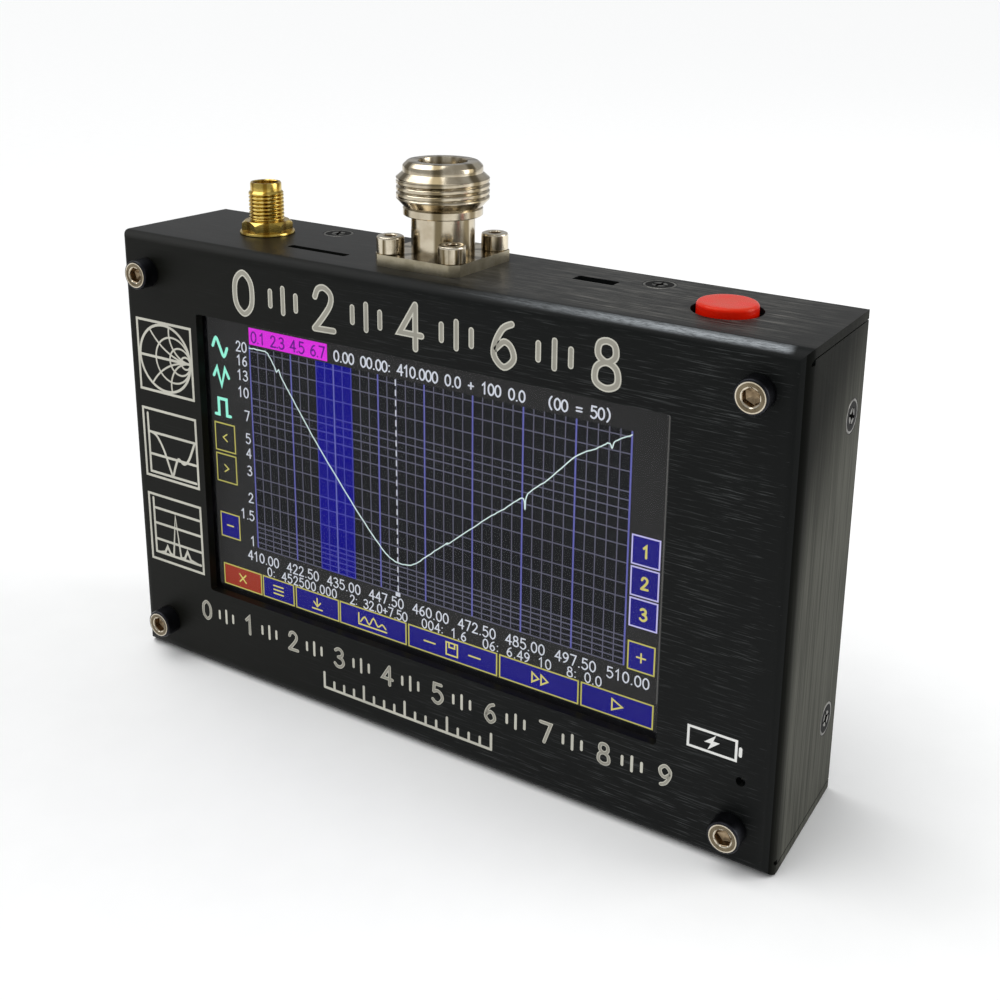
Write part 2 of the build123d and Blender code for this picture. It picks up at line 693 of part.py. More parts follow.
def board_screws():
    """Pan-head screws behind the radio board."""
    grip = BOARD_T + BOARD_GAP - BOARD_SCREW_TIP
    head = round_over(BOARD_SCREW_HEAD_R, BOARD_SCREW_HEAD_H, BOARD_SCREW_ROUND)
    screw = stepped_pin([(M3_R, -grip), (M3_R, 0), (BOARD_SCREW_HEAD_R, 0), *head])
    return group([at((x, RF_BACK, z), REARWARD, screw) for x, z in CORNERS])


def leaded_chip(width, height, thick, lead_sides):
    """Chip lying on z = 0, with flat leads on the named sides."""
    body = block(around(0, width), around(0, height), (0, thick))
    body = chamfer(body.edges().group_by(Axis.Z)[-1], CHIP_BEVEL)
    for turn in lead_sides:
        along, across = (width, height) if turn % 180 == 0 else (height, width)
        count = int((along - LEAD_PITCH) // LEAD_PITCH) + 1
        for n in range(count):
            x = (n - (count - 1) / 2) * LEAD_PITCH
            foot = block(around(x, LEAD_W), (across / 2, across / 2 + LEAD_REACH), (0, LEAD_T))
            body += Rot(0, 0, turn) * foot
    return body


def processor_chip():
    chip = leaded_chip(PROCESSOR, PROCESSOR, PROCESSOR_T, (0, 90, 180, 270))
    return at((PROCESSOR_X, MAIN_BACK, BOARD_MIDDLE + PROCESSOR_UP), REARWARD, chip)


def memory_chip():
    chip = leaded_chip(MEMORY_W, MEMORY_L, MEMORY_T, (0, 180))
    return at((MEMORY_X, MAIN_BACK, BOARD_MIDDLE + MEMORY_UP), REARWARD, chip)


def clock_crystal():
    """Oval metal can."""
    can = extrude(SlotOverall(CRYSTAL_L, CRYSTAL_W), CRYSTAL_T)
    can = chamfer(can.edges().group_by(Axis.Z)[-1], LEAD_T)
    return at((CRYSTAL_X, MAIN_BACK, BOARD_MIDDLE + CRYSTAL_UP), REARWARD, can)


def board_link():
    """Board-to-board connector: a pin strip on the main board in a socket strip on
    the radio board."""
    length = LINK_PINS * LINK_PITCH + 2 * LINK_END
    split = MAIN_BACK + LINK_PLUG_T
    strip = block(around(LINK_X, LINK_W), (MAIN_BACK, split), around(BOARD_MIDDLE, length))
    strip = chamfer(strip.edges().filter_by(Axis.Y), LEAD_T)
    for n in range(LINK_PINS):
        z = BOARD_MIDDLE + (n - (LINK_PINS - 1) / 2) * LINK_PITCH
        for side in (-1, 1):
            x = LINK_X + side * LINK_PITCH / 2
            strip += block(around(x, LINK_PIN), (split, RF_FRONT), around(z, LINK_PIN))
    return strip


def charge_led():
    """Round lamp on two legs, its dome just behind the front's small hole."""
    base = PANEL_IN + LED_TIP_GAP + LED_L
    dome = round_over(LED_R, LED_L, LED_R - LED_HOLE_R)
    lamp = stepped_pin([(LED_RIM_R, 0), (LED_RIM_R, LED_RIM_T), (LED_R, LED_RIM_T), *dome])
    body = at((LED_X, base, LED_Z), FORWARD, lamp)
    for side in (-1, 1):
        x = LED_X + side * LED_LEG_PITCH / 2
        body += block(around(x, LED_LEG), (base, MAIN_FRONT), around(LED_Z, LED_LEG))
    return body


def card_socket():
    """Memory card socket on the main board's front, open at its top."""
    y = (MAIN_FRONT - CARD_SOCKET_H, MAIN_FRONT)
    body = block(around(CARD_X, CARD_SOCKET_W), y, (SOCKET_TOP - CARD_SOCKET_L, SOCKET_TOP))
    return body - block(around(CARD_X, CARD_W), around(CARD_Y, CARD_T),
                        (SOCKET_TOP - CARD_DEPTH, SOCKET_TOP))


def usb_socket():
    """Charging socket on the radio board's back: a bent shell round a tongue."""
    z = (SOCKET_TOP - USB_L, SOCKET_TOP)
    half_w, half_t = USB_W / 2, USB_T / 2
    shell = block(around(USB_X, USB_W), around(USB_Y, USB_T), z)
    shell = chamfer(shell.edges().filter_by(Axis.Z).sort_by(Axis.Y)[-2:], half_t / 2)
    hollow = block(around(USB_X, 2 * (half_w - USB_WALL)), around(USB_Y, 2 * (half_t - USB_WALL)),
                   (z[0] + 2 * USB_WALL, z[1]))
    hollow = chamfer(hollow.edges().filter_by(Axis.Z).sort_by(Axis.Y)[-2:], half_t / 2)
    tongue = block(around(USB_X, USB_TONGUE_W), around(USB_Y, USB_TONGUE_T),
                   (z[0] + USB_WALL, z[1] - 2 * USB_WALL))
    return shell - hollow + tongue


# ---------------------------------------------------------------- radio parts
def shield_fence():
    y = (RF_BACK, RF_BACK + SHIELD_T)
    z = (SHIELD_Z, SHIELD_Z + SHIELD_H)
    outer = block(around(SHIELD_X, SHIELD_W), y, z)
    return outer - block(around(SHIELD_X, SHIELD_W - 2 * SHIELD_WALL), y,
                         (z[0] + SHIELD_WALL, z[1] - SHIELD_WALL))


def shield_lid():
    """Cap over the fence, its skirt outside the fence's walls."""
    grow = FIT + SHIELD_LID
    seat = RF_BACK + SHIELD_T
    outer = block(around(SHIELD_X, SHIELD_W + 2 * grow), (seat - SHIELD_SKIRT, seat + SHIELD_LID),
                  (SHIELD_Z - grow, SHIELD_Z + SHIELD_H + grow))
    outer = chamfer(outer.edges().sort_by(Axis.Y)[-4:], SHIELD_LID)
    return outer - block(around(SHIELD_X, SHIELD_W + 2 * FIT), (seat - SHIELD_SKIRT, seat),
                         (SHIELD_Z - FIT, SHIELD_Z + SHIELD_H + FIT))


def synthesizer_chip():
    chip = leaded_chip(SYNTH, SYNTH, SYNTH_T, ())
    return at((SHIELD_X, RF_BACK, SHIELD_Z + SHIELD_H / 2), REARWARD, chip)


def charger_chip():
    chip = leaded_chip(CHARGER_W, CHARGER_W, CHARGER_T, (0, 180))
    return at((CHARGER_X, RF_BACK, BOARD_TOP - CHARGER_DROP), REARWARD, chip)


def power_inductor():
    body = block(around(INDUCTOR_X, INDUCTOR), (RF_BACK, RF_BACK + INDUCTOR_T),
                 around(BOARD_TOP - INDUCTOR_DROP, INDUCTOR))
    return chamfer(body.edges().filter_by(Axis.Y), INDUCTOR / 5)


# ---------------------------------------------------------------- N socket
def n_socket_body():
    """Square flange and turned barrel, with the plain cylinder of its thread."""
    z0 = CASE_H + NTYPE_FLANGE_T
    z1 = z0 + NTYPE_BASE_L
    z2 = z1 + NTYPE_COLLAR_L
    z3 = z2 + NTYPE_RUNOUT_L
    z4 = z3 + NTYPE_THREAD_L
    z5 = z4 + NTYPE_LEAD_L
    barrel = turned([(0, z0), (NTYPE_BASE_R, z0), (NTYPE_BASE_R, z1), (NTYPE_COLLAR_R, z1),
                     (NTYPE_COLLAR_R, z2), (NTYPE_THREAD_R, z3), (NTYPE_THREAD_R, z4), (NTYPE_NOSE_R, z5),
                     (NTYPE_NOSE_R, NTYPE_TOP), (0, NTYPE_TOP)])
    flange = block(around(0, NTYPE_FLANGE), around(0, NTYPE_FLANGE), (CASE_H, z0))
    flange = chamfer(flange.edges().filter_by(Axis.Z), NTYPE_FLANGE_CHAMFER)
    body = flange + barrel
    body += pin(NTYPE_SPIGOT_R, (0, 0, CASE_H), (0, 0, CASE_H - NTYPE_SPIGOT_L))
    body -= rod(NTYPE_BORE_R, (0, 0, NTYPE_FLOOR), (0, 0, NTYPE_TOP))
    body -= pin(NTYPE_INSULATOR_R + FIT, (0, 0, CASE_H - NTYPE_SPIGOT_L), (0, 0, NTYPE_TOP))
    body = Pos(NTYPE_X, NTYPE_Y, 0) * body
    for x, y in NTYPE_SCREWS:
        body -= pin(NTYPE_SCREW_HOLE_R, (x, y, CASE_H), (x, y, z0))
    return body


def n_socket_insulator():
    """White sleeve that carries the centre contact."""
    ends = ((NTYPE_X, NTYPE_Y, NTYPE_TAIL_TOP), (NTYPE_X, NTYPE_Y, NTYPE_FLOOR))
    return pin(NTYPE_INSULATOR_R, *ends) - pin(NTYPE_CONTACT_R + FIT, *ends)


def n_socket_contact():
    """Slotted tube at the mouth and a solid solder tail at the radio board."""
    tip = NTYPE_TOP - NTYPE_CONTACT_RECESS
    contact = pin(NTYPE_CONTACT_R, (NTYPE_X, NTYPE_Y, NTYPE_TAIL_TOP), (NTYPE_X, NTYPE_Y, tip))
    contact -= pin(NTYPE_CONTACT_BORE_R, (NTYPE_X, NTYPE_Y, NTYPE_FLOOR), (NTYPE_X, NTYPE_Y, tip))
    reach = 2 * NTYPE_CONTACT_R
    height = (NTYPE_FLOOR + NTYPE_CONTACT_R, tip)
    contact -= block(around(NTYPE_X, NTYPE_CONTACT_SLOT), around(NTYPE_Y, reach), height)
    contact -= block(around(NTYPE_X, reach), around(NTYPE_Y, NTYPE_CONTACT_SLOT), height)
    return contact + pin(NTYPE_TAIL_R, (NTYPE_X, NTYPE_Y, NTYPE_TAIL_TOP),
                         (NTYPE_X, NTYPE_Y, NTYPE_TAIL_TOP - NTYPE_TAIL_L))


# ---------------------------------------------------------------- SMA socket
def sma_body():
    """Bulkhead socket: a flange inside the case and a threaded barrel through it."""
    nose = SMA_THREAD_R - SMA_NOSE_R
    thread_top = CASE_H + SMA_THREAD_TOP
    thread_bottom = CASE_H + SMA_WASHER_T + SMA_NUT_H + SMA_GRIP_END
    barrel = turned([(0, SMA_BOTTOM), (SMA_FLANGE_R, SMA_BOTTOM), (SMA_FLANGE_R, TOP_IN),
                     (SMA_GRIP_R, TOP_IN), (SMA_GRIP_R, thread_bottom),
                     (SMA_THREAD_R, thread_bottom), (SMA_THREAD_R, thread_top - nose),
                     (SMA_NOSE_R, thread_top), (SMA_NOSE_R, SMA_TOP), (0, SMA_TOP)])
    barrel -= rod(SMA_MOUTH_R, (0, 0, SMA_TOP - SMA_MOUTH_DEPTH), (0, 0, SMA_TOP))
    barrel -= pin(SMA_INSULATOR_R + FIT, (0, 0, SMA_BOTTOM), (0, 0, SMA_TOP))
    return Pos(SMA_X, SMA_Y, 0) * barrel


def sma_insulator():
    ends = ((SMA_X, SMA_Y, SMA_BOTTOM), (SMA_X, SMA_Y, SMA_TOP - SMA_MOUTH_DEPTH))
    return pin(SMA_INSULATOR_R, *ends) - pin(SMA_CONTACT_R + FIT, *ends)


def sma_contact():
    tip = SMA_TOP - SMA_MOUTH_DEPTH
    contact = pin(SMA_CONTACT_R, (SMA_X, SMA_Y, SMA_BOTTOM - SMA_TAIL_L), (SMA_X, SMA_Y, tip))
    return contact - pin(SMA_CONTACT_BORE_R, (SMA_X, SMA_Y, tip - 4 * SMA_CONTACT_R),
                         (SMA_X, SMA_Y, tip))


def sma_washer():
    """Flat washer under the nut."""
    ends = ((SMA_X, SMA_Y, CASE_H), (SMA_X, SMA_Y, CASE_H + SMA_WASHER_T))
    return rod(SMA_WASHER_R, *ends) - pin(SMA_HOLE_R, *ends)


def sma_nut():
    """Hexagonal nut with its top corners turned off."""
    seat = CASE_H + SMA_WASHER_T
    corner_r = SMA_NUT_AF / sqrt(3)
    turned_off = corner_r - SMA_NUT_AF / 2
    nut = hex_prism(SMA_NUT_AF, (0, 0, 0), (0, 0, SMA_NUT_H))
    nut &= turned([(0, 0), (corner_r, 0), (corner_r, SMA_NUT_H - turned_off),
                   (SMA_NUT_AF / 2, SMA_NUT_H), (0, SMA_NUT_H)])
    nut -= pin(SMA_GRIP_R + 3 * FIT, (0, 0, 0), (0, 0, SMA_NUT_H))
    return Pos(SMA_X, SMA_Y, seat) * Rot(0, 0, SMA_NUT_TURN) * nut


# ---------------------------------------------------------------- power button
def switch_housing():
    """Square housing on the main board's back, open at the top for the shaft."""
    z = (SWITCH_BOTTOM, SWITCH_TOP)
    room = SWITCH - 2 * SWITCH_WALL
    shaft = PLUNGER + 2 * SHAFT_GAP
    body = block(around(BUTTON_X, SWITCH), around(BUTTON_Y, SWITCH), z)
    body = chamfer(body.edges().filter_by(Axis.Z), SWITCH_WALL / 2)
    body -= block(around(BUTTON_X, room), around(BUTTON_Y, room),
                  (z[0] + SWITCH_WALL, z[1] - SWITCH_WALL))
    return body - block(around(BUTTON_X, shaft), around(BUTTON_Y, shaft),
                        (z[1] - SWITCH_WALL, z[1]))


def switch_plunger():
    """Sliding shaft: collar under the housing's roof, stem inside the spring."""
    shaft = block(around(BUTTON_X, PLUNGER), around(BUTTON_Y, PLUNGER), (COLLAR_TOP, PLUNGER_TOP))
    shaft += block(around(BUTTON_X, COLLAR), around(BUTTON_Y, COLLAR), (COLLAR_BOTTOM, COLLAR_TOP))
    return shaft + pin(STEM_R, (BUTTON_X, BUTTON_Y, COLLAR_BOTTOM),
                       (BUTTON_X, BUTTON_Y, COLLAR_BOTTOM - STEM_L))


def switch_spring():
    """Coil spring of square wire, from the housing's floor to the collar. Its turns
    are drawn with flats, each side of the wire in two triangles."""
    half = SPRING_WIRE / 2
    low = SWITCH_BOTTOM + SWITCH_WALL + SPRING_SEAT_GAP + half
    high = COLLAR_BOTTOM - SPRING_SEAT_GAP - half
    steps = SPRING_TURNS * FLATS
    rings = []
    for n in range(steps + 1):
        z = low + (high - low) * n / steps
        corners = [(-half, -half), (half, -half), (half, half), (-half, half)]
        rings.append([on_turn(n, SPRING_R + across, z + up) for across, up in corners])
    faces = [Face(Wire.make_polygon(ring)) for ring in (rings[0], rings[-1])]
    for last, ring in zip(rings, rings[1:]):
        for n in range(4):
            faces.append(Face(Wire.make_polygon([last[n - 1], last[n], ring[n]])))
            faces.append(Face(Wire.make_polygon([last[n - 1], ring[n], ring[n - 1]])))
    return Pos(BUTTON_X, BUTTON_Y, 0) * Solid(Shell(faces))


def button_cap():
    """Hollow red cap with a square-holed boss that grips the shaft."""
    top = CASE_H + CAP_RISE
    ceiling = top - CAP_TOP
    cap = turned([(0, CAP_BOTTOM), (CAP_R, CAP_BOTTOM), (CAP_R, top - CAP_BEVEL),
                  (CAP_R - CAP_BEVEL, top), (0, top)])
    cap -= pin(CAP_R - CAP_WALL, (0, 0, CAP_BOTTOM), (0, 0, ceiling))
    cap += pin(CAP_BOSS_R, (0, 0, CAP_BOTTOM), (0, 0, ceiling))
    grip = PLUNGER + 2 * FIT
    cap -= block(around(0, grip), around(0, grip), (CAP_BOTTOM, ceiling))
    return Pos(BUTTON_X, BUTTON_Y, 0) * cap


# ---------------------------------------------------------------- battery
def battery_cell():
    cell = block(around(0, BATTERY_W), (BATTERY_FRONT, BATTERY_BACK), (BATTERY_Z, BATTERY_TOP))
    return fillet(cell.edges().filter_by(Axis.Z), BATTERY_ROUND)


def battery_tape():
    return block(around(0, BATTERY_W - PAD_INSET), (BATTERY_BACK, COVER_IN),
                 (BATTERY_Z + PAD_INSET / 2, BATTERY_TOP - PAD_INSET / 2))


def battery_guard_board():
    """Small protection board on the cell's top edge."""
    return block(around(0, GUARD_W), around(PLUG_Y, GUARD_T), (BATTERY_TOP, BATTERY_TOP + GUARD_H))


def battery_socket():
    """Board socket, open at its lower end for the battery's plug."""
    z = (PLUG_SOCKET_Z, PLUG_SOCKET_Z + PLUG_SOCKET_L)
    body = block(around(PLUG_X, PLUG_W), around(PLUG_Y, PLUG_T), z)
    return body - block(around(PLUG_X, PLUG_W - 2 * PLUG_WALL),
                        around(PLUG_Y, PLUG_T - 2 * PLUG_WALL), (z[0], z[0] + PLUG_INSERT))


def battery_plug():
    inset = PLUG_WALL + FIT
    body = block(around(PLUG_X, PLUG_W - 2 * inset), around(PLUG_Y, PLUG_T - 2 * inset),
                 (PLUG_BOTTOM, PLUG_TOP))
    return chamfer(body.edges().filter_by(Axis.Z), PLUG_WALL / 2)


def battery_wires():
    """Two wires from the protection board's end, round one bend, up to the plug."""
    wires = []
    for n in (0, 1):
        x = PLUG_X + (0.5 - n) * WIRE_PITCH
        z = BATTERY_TOP + WIRE_RISE + n * WIRE_STEP
        path = FilletPolyline((GUARD_W / 2, PLUG_Y, z), (x, PLUG_Y, z), (x, PLUG_Y, PLUG_BOTTOM),
                              radius=WIRE_BEND_R)
        section = Plane(origin=path @ 0, z_dir=path % 0) * RegularPolygon(WIRE_R, 6)
        wires.append(sweep(section, path=path))
    return group(wires)


# ---------------------------------------------------------------- the whole analyzer
NODES = [
    front_shell, rear_cover, cover_screws, panel_screws,
    window_gasket, touch_panel, lcd_glass, lcd_frame, lcd_tape, lcd_ribbon, ribbon_socket,
    main_board, front_standoffs, rear_standoffs, processor_chip, memory_chip, clock_crystal,
    card_socket, charge_led, board_link,
    rf_board, board_screws, shield_fence, shield_lid, synthesizer_chip, charger_chip,
    power_inductor, usb_socket,
    n_socket_body, n_socket_insulator, n_socket_contact, n_flange_screws, n_flange_nuts,
    sma_body, sma_insulator, sma_contact, sma_washer, sma_nut,
    switch_housing, switch_plunger, switch_spring, button_cap,
    battery_cell, battery_tape, battery_guard_board, battery_socket, battery_plug, battery_wires,
]


def main():
    os.makedirs("parts", exist_ok=True)
    for node in NODES:
        export_step(node(), f"parts/{node.__name__}.step")


main()
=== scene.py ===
import json
from math import atan2, cos, hypot, pi, radians, sin

import bmesh
import bpy
from mathutils import Matrix, Vector

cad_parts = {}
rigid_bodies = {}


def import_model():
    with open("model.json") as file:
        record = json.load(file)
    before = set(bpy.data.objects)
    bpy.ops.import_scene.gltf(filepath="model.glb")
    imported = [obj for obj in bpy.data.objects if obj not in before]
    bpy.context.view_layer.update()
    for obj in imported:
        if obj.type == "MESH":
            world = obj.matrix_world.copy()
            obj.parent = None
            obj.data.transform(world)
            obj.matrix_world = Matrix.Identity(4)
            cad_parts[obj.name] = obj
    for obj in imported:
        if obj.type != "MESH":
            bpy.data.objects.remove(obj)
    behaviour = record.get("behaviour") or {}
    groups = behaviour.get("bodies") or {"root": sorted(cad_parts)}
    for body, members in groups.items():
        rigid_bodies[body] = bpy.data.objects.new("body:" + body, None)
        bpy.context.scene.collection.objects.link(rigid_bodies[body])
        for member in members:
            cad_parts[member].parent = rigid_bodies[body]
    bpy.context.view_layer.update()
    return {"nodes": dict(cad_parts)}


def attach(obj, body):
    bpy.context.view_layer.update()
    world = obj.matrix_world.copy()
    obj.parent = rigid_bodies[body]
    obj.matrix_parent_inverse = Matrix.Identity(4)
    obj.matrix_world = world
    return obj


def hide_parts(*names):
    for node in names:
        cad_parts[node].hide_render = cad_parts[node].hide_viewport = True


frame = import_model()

# Lengths are in millimetres. Each mesh is scaled to metres when it becomes a piece.
MM = 0.001
scene = bpy.context.scene
X, Y, Z = Vector((1, 0, 0)), Vector((0, 1, 0)), Vector((0, 0, 1))
TOLERANCE = 1e-6

# ---------------------------------------------------------------- sizes of the case
SIDE = 67.5
FRONT = -13.5
BACK = 13.5
HEIGHT = 85.0
SHEET = 1.5
BEND = 2.5                                  # outer radius of the folds
SEAM = 0.2                                  # gap between the rear cover and the tray
PANEL_IN = FRONT + SHEET
TOP_IN = HEIGHT - SHEET
WINDOW = (-48.6, 47.2, 16.7, 71.9)          # left, right, low, high
CORNERS = [(x, z) for x in (-60.4, 60.4) for z in (7.0, 78.0)]
LAMP_HOLE = (61.6, 15.6, 0.8)               # x, z, radius
CARD_SLOT = ((-33.5, -20.3), (-5.6, -3.9))  # limits along x and y
CHARGE_SLOT = ((20.05, 27.75), (3.6, 6.3))
TAB_LINE = 8.75                             # y of the cover's tabs and their screws
TAB_X, TAB_Z = 33.75, 26.5                  # the tabs' distance from the middle of an edge
SCREW_HOLE = 1.6                            # radius of the holes for 3 mm screws
N_X, N_Y = -4.0, 1.05
N_SEAT = 87.0                               # top of the N socket's flange
FLANGE_HOLES = [(N_X + x, N_Y + y) for x in (-6.35, 6.35) for y in (-6.35, 6.35)]
FLANGE_HOLE = 1.35                          # their radius
SMA_X, SMA_Y = -44.6, 1.415
BUTTON_X, BUTTON_Y = 49.3, 0.5
TOP_HOLES = ((N_X, N_Y, 4.45), (SMA_X, SMA_Y, 3.25), (BUTTON_X, BUTTON_Y, 5.7))


# ---------------------------------------------------------------- node kit
class Field:
    """A value on a surface. Arithmetic on it adds the nodes that do the sum."""

    def __init__(self, finish, socket):
        self.finish = finish
        self.socket = socket

    def sum(self, operation, *values):
        return self.finish.node("Math", {"operation": operation}, dict(enumerate(values)))

    def __add__(self, other):
        return self.sum("ADD", self, other)

    __radd__ = __add__

    def __sub__(self, other):
        return self.sum("SUBTRACT", self, other)

    def __rsub__(self, other):
        return self.sum("SUBTRACT", other, self)

    def __mul__(self, other):
        return self.sum("MULTIPLY", self, other)

    __rmul__ = __mul__

    def __abs__(self):
        return self.sum("ABSOLUTE", self)

    def sine(self):
        return self.sum("SINE", self)

    def fade(self, start, end):
        """0 at start and 1 at end, with soft ends."""
        return self.finish.node("MapRange", {"interpolation_type": "SMOOTHSTEP"},
                                {"Value": self, "From Min": start, "From Max": end})


class Finish:
    """One material, made of nodes round a Principled shader."""

    def __init__(self, name, **constants):
        self.material = bpy.data.materials.new(name)
        self.material.use_nodes = True
        self.tree = self.material.node_tree
        self.tree.nodes.clear()
        self.shader = self.tree.nodes.new("ShaderNodeBsdfPrincipled")
        output = self.tree.nodes.new("ShaderNodeOutputMaterial")
        self.tree.links.new(self.shader.outputs[0], output.inputs[0])
        self.set(**constants)

    def node(self, kind, settings=None, sockets=None, output=0):
        """Any node: its type, its settings, then the values or links of its sockets."""
        node = self.tree.nodes.new("ShaderNode" + kind)
        for name, value in (settings or {}).items():
            setattr(node, name, value)
        for key, value in (sockets or {}).items():
            if isinstance(value, Field):
                self.tree.links.new(value.socket, node.inputs[key])
            else:
                node.inputs[key].default_value = value
        return Field(self, node.outputs[output])

    def set(self, **sockets):
        """Values or links of the shader's sockets, named with _ for spaces."""
        for key, value in sockets.items():
            socket = self.shader.inputs[key.replace("_", " ")]
            if isinstance(value, Field):
                self.tree.links.new(value.socket, socket)
            elif isinstance(value, tuple):
                socket.default_value = (*value, 1)
            else:
                socket.default_value = value
        return self

    def place(self):
        """The point on the object, in millimetres, as three values."""
        point = self.node("TexCoord", output=3)
        parts = [self.node("SeparateXYZ", {}, {0: point}, n) for n in range(3)]
        return [part * 1000 for part in parts]

    def noise(self, x, y, z, detail=2.0, roughness=0.5):
        point = self.node("CombineXYZ", {}, {0: x, 1: y, 2: z})
        return self.node("TexNoise", {"noise_dimensions": "3D"},
                         {"Vector": point, "Scale": 1.0, "Detail": detail, "Roughness": roughness})

    def grain(self, place, scale, detail=2.0, roughness=0.5):
        """Noise at a place, as fine along every axis."""
        return self.noise(*(part * scale for part in place), detail, roughness)

    def mix(self, factor, low, high):
        """Colour from low to high, each a tuple or a colour field."""
        pair = [c if isinstance(c, Field) else (*c, 1) for c in (low, high)]
        return self.node("Mix", {"data_type": "RGBA"}, {0: factor, 6: pair[0], 7: pair[1]}, 2)

    def bump(self, height, depth):
        """Relief of that depth in millimetres."""
        normal = self.node("Bump", {}, {"Height": height, "Distance": depth * MM, "Strength": 1.0})
        return self.set(Normal=normal)


# ---------------------------------------------------------------- finishes
def brushed_sheet(name, along, level, rough, closeness=4.6, shortness=0.2):
    """Black anodised sheet, brushed along one axis: the finish, its place and two grains."""
    f = Finish(name, Specular_IOR_Level=level)
    x, y, z = f.place()
    run, across = (x, z) if along == "x" else (z, x)
    fine = f.noise(run * shortness, across * closeness, y * closeness, 3.0, 0.6)
    streak = f.noise(run * shortness * 0.5 + 7.0, across * closeness * 0.6, y * closeness * 0.6)
    f.set(Roughness=rough + fine * 0.16)
    f.bump(fine * 0.6 + streak * 0.4, 0.012)
    return f, (x, y, z), fine, streak


def brushed_front():
    """Nearly black, with short pale brushed streaks, painted as sheen brighter towards the right, that
    end raggedly before the side bends, and a painted highlight along the top bend, brighter towards the
    right."""
    f, (x, y, z), fine, streak = brushed_sheet("case_brushed_front", "x", 0.11, 0.42, 5.2)
    ragged = abs(x) + (streak - 0.5) * 14.0
    flat = y.fade(-13.1, -13.4) * ragged.fade(64.8, 63.2)
    patch = f.noise(x * 0.05, y * 0.05, z * 0.09, 1.0)
    line = fine.fade(0.56, 0.76) * 0.6 + streak.fade(0.58, 0.74) * 0.4
    # Brushed grain whose brightness is painted sheen, growing towards the right.
    grain_and_painted_sheen = line * flat * (x.fade(-45, 55) * 0.9 + 0.1) * (patch.fade(0.25, 0.65) * 0.6 + 0.4)
    black = f.mix(x.fade(-60, 20), (0.0046, 0.0048, 0.0034), (0.0040, 0.0048, 0.0046))
    # Painted highlight along the top bend: a narrow band, stronger towards the right, with a fine
    # sparkle.
    painted_highlight_sparkle = f.noise(x * 0.7, y * 7.0, z * 7.0, 3.0, 0.7).fade(0.30, 0.66)
    painted_highlight_ridge = z.fade(83.9, 84.6) * (z.fade(85.02, 84.65) * 0.7 + 0.3) * y.fade(-10.7, -11.1)
    bend = painted_highlight_ridge * (x + streak * 16.0).fade(12, 60) * x.fade(65.2, 63.6)
    sheet = f.mix(grain_and_painted_sheen, black, (0.10, 0.106, 0.106))
    # The last mix lays the painted highlight over the sheet.
    return f.set(Base_Color=f.mix(bend * (painted_highlight_sparkle * 0.7 + 0.3), sheet, (0.36, 0.385, 0.405)))


def brushed_top():
    """Silvery brushed streaks, painted as sheen that fades towards the ends and the front edge."""
    f, (x, y, z), fine, streak = brushed_sheet("case_brushed_top", "x", 0.12, 0.30, 5.4)
    line = fine.fade(0.48, 0.68) * 0.7 + streak.fade(0.50, 0.68) * 0.5
    # Painted sheen: the streaks fade towards both ends and darken towards the front edge.
    ends = (x.fade(-30, 40) * 0.6 + 0.1) * (x.fade(67, 56) * 0.65 + 0.35)
    grain_and_painted_sheen = line * ends * y.fade(-11.5, -8.5)
    return f.set(Base_Color=f.mix(grain_and_painted_sheen, (0.0045, 0.0045, 0.0040), (0.150, 0.145, 0.130)))


def brushed_side():
    """Upright grain under a painted reflection, greyer down from the top and back from the front bend.
    """
    f, (x, y, z), fine, streak = brushed_sheet("case_brushed_side", "z", 0.008, 0.42, 3.0, 0.07)
    grain = fine.fade(0.30, 0.70) * 0.6 + streak.fade(0.32, 0.68) * 0.4
    # Painted reflection: grey grows down from the top and back from the front bend.
    side_painted_reflection = ((z - y * 0.9).fade(82, 50) * 0.88 + 0.12) * y.fade(-13.2, -8.0)
    grain_and_painted_sheen = side_painted_reflection * (grain * 0.7 + 0.45)
    return f.set(Base_Color=f.mix(grain_and_painted_sheen, (0.0045, 0.0048, 0.0042), (0.094, 0.094, 0.080)))


def satin_black(name):
    """Black anodised sheet with a fine matt grain."""
    colour = (0.008, 0.008, 0.0082)
    f = Finish(name, Specular_IOR_Level=0.35)
    place = f.place()
    grain = f.grain(place, 6, 3.0, 0.6)
    cloud = f.grain(place, 0.08)
    f.set(Base_Color=f.mix(cloud.fade(0.3, 0.7), colour, tuple(1.5 * c for c in colour)),
          Roughness=0.45 + grain * 0.15)
    return f.bump(grain, 0.008)


def painted_reflection_round(centre, shift):
    """Upright dark stripes of painted reflection at fixed places round a turned piece."""
    def reflection_stripes(f):
        x, y, z = f.place()
        turn = f.node("Math", {"operation": "ARCTAN2"}, {0: y - centre[1], 1: x - centre[0]}) - shift
        soft = f.noise(x * 0.5, y * 0.5, z * 0.1, 1.0) - 0.5
        wave = (turn * 7 + 9.3).sine() * 0.55 + (turn * 13 + 9.46).sine() * 0.45 + soft * 0.8
        return wave.fade(-0.25, 0.8)
    return reflection_stripes


def painted_reflection_close(f):
    """Narrow upright dark stripes of painted reflection on small screws."""
    x, y, z = f.place()
    wide = f.noise(x * 0.9, y * 0.9, z * 0.03, 1.0)
    thin = f.noise(x * 2.2 + 5.0, y * 2.2, z * 0.05, 1.0)
    return wide.fade(0.42, 0.62) * 0.8 + thin.fade(0.52, 0.68) * 0.35


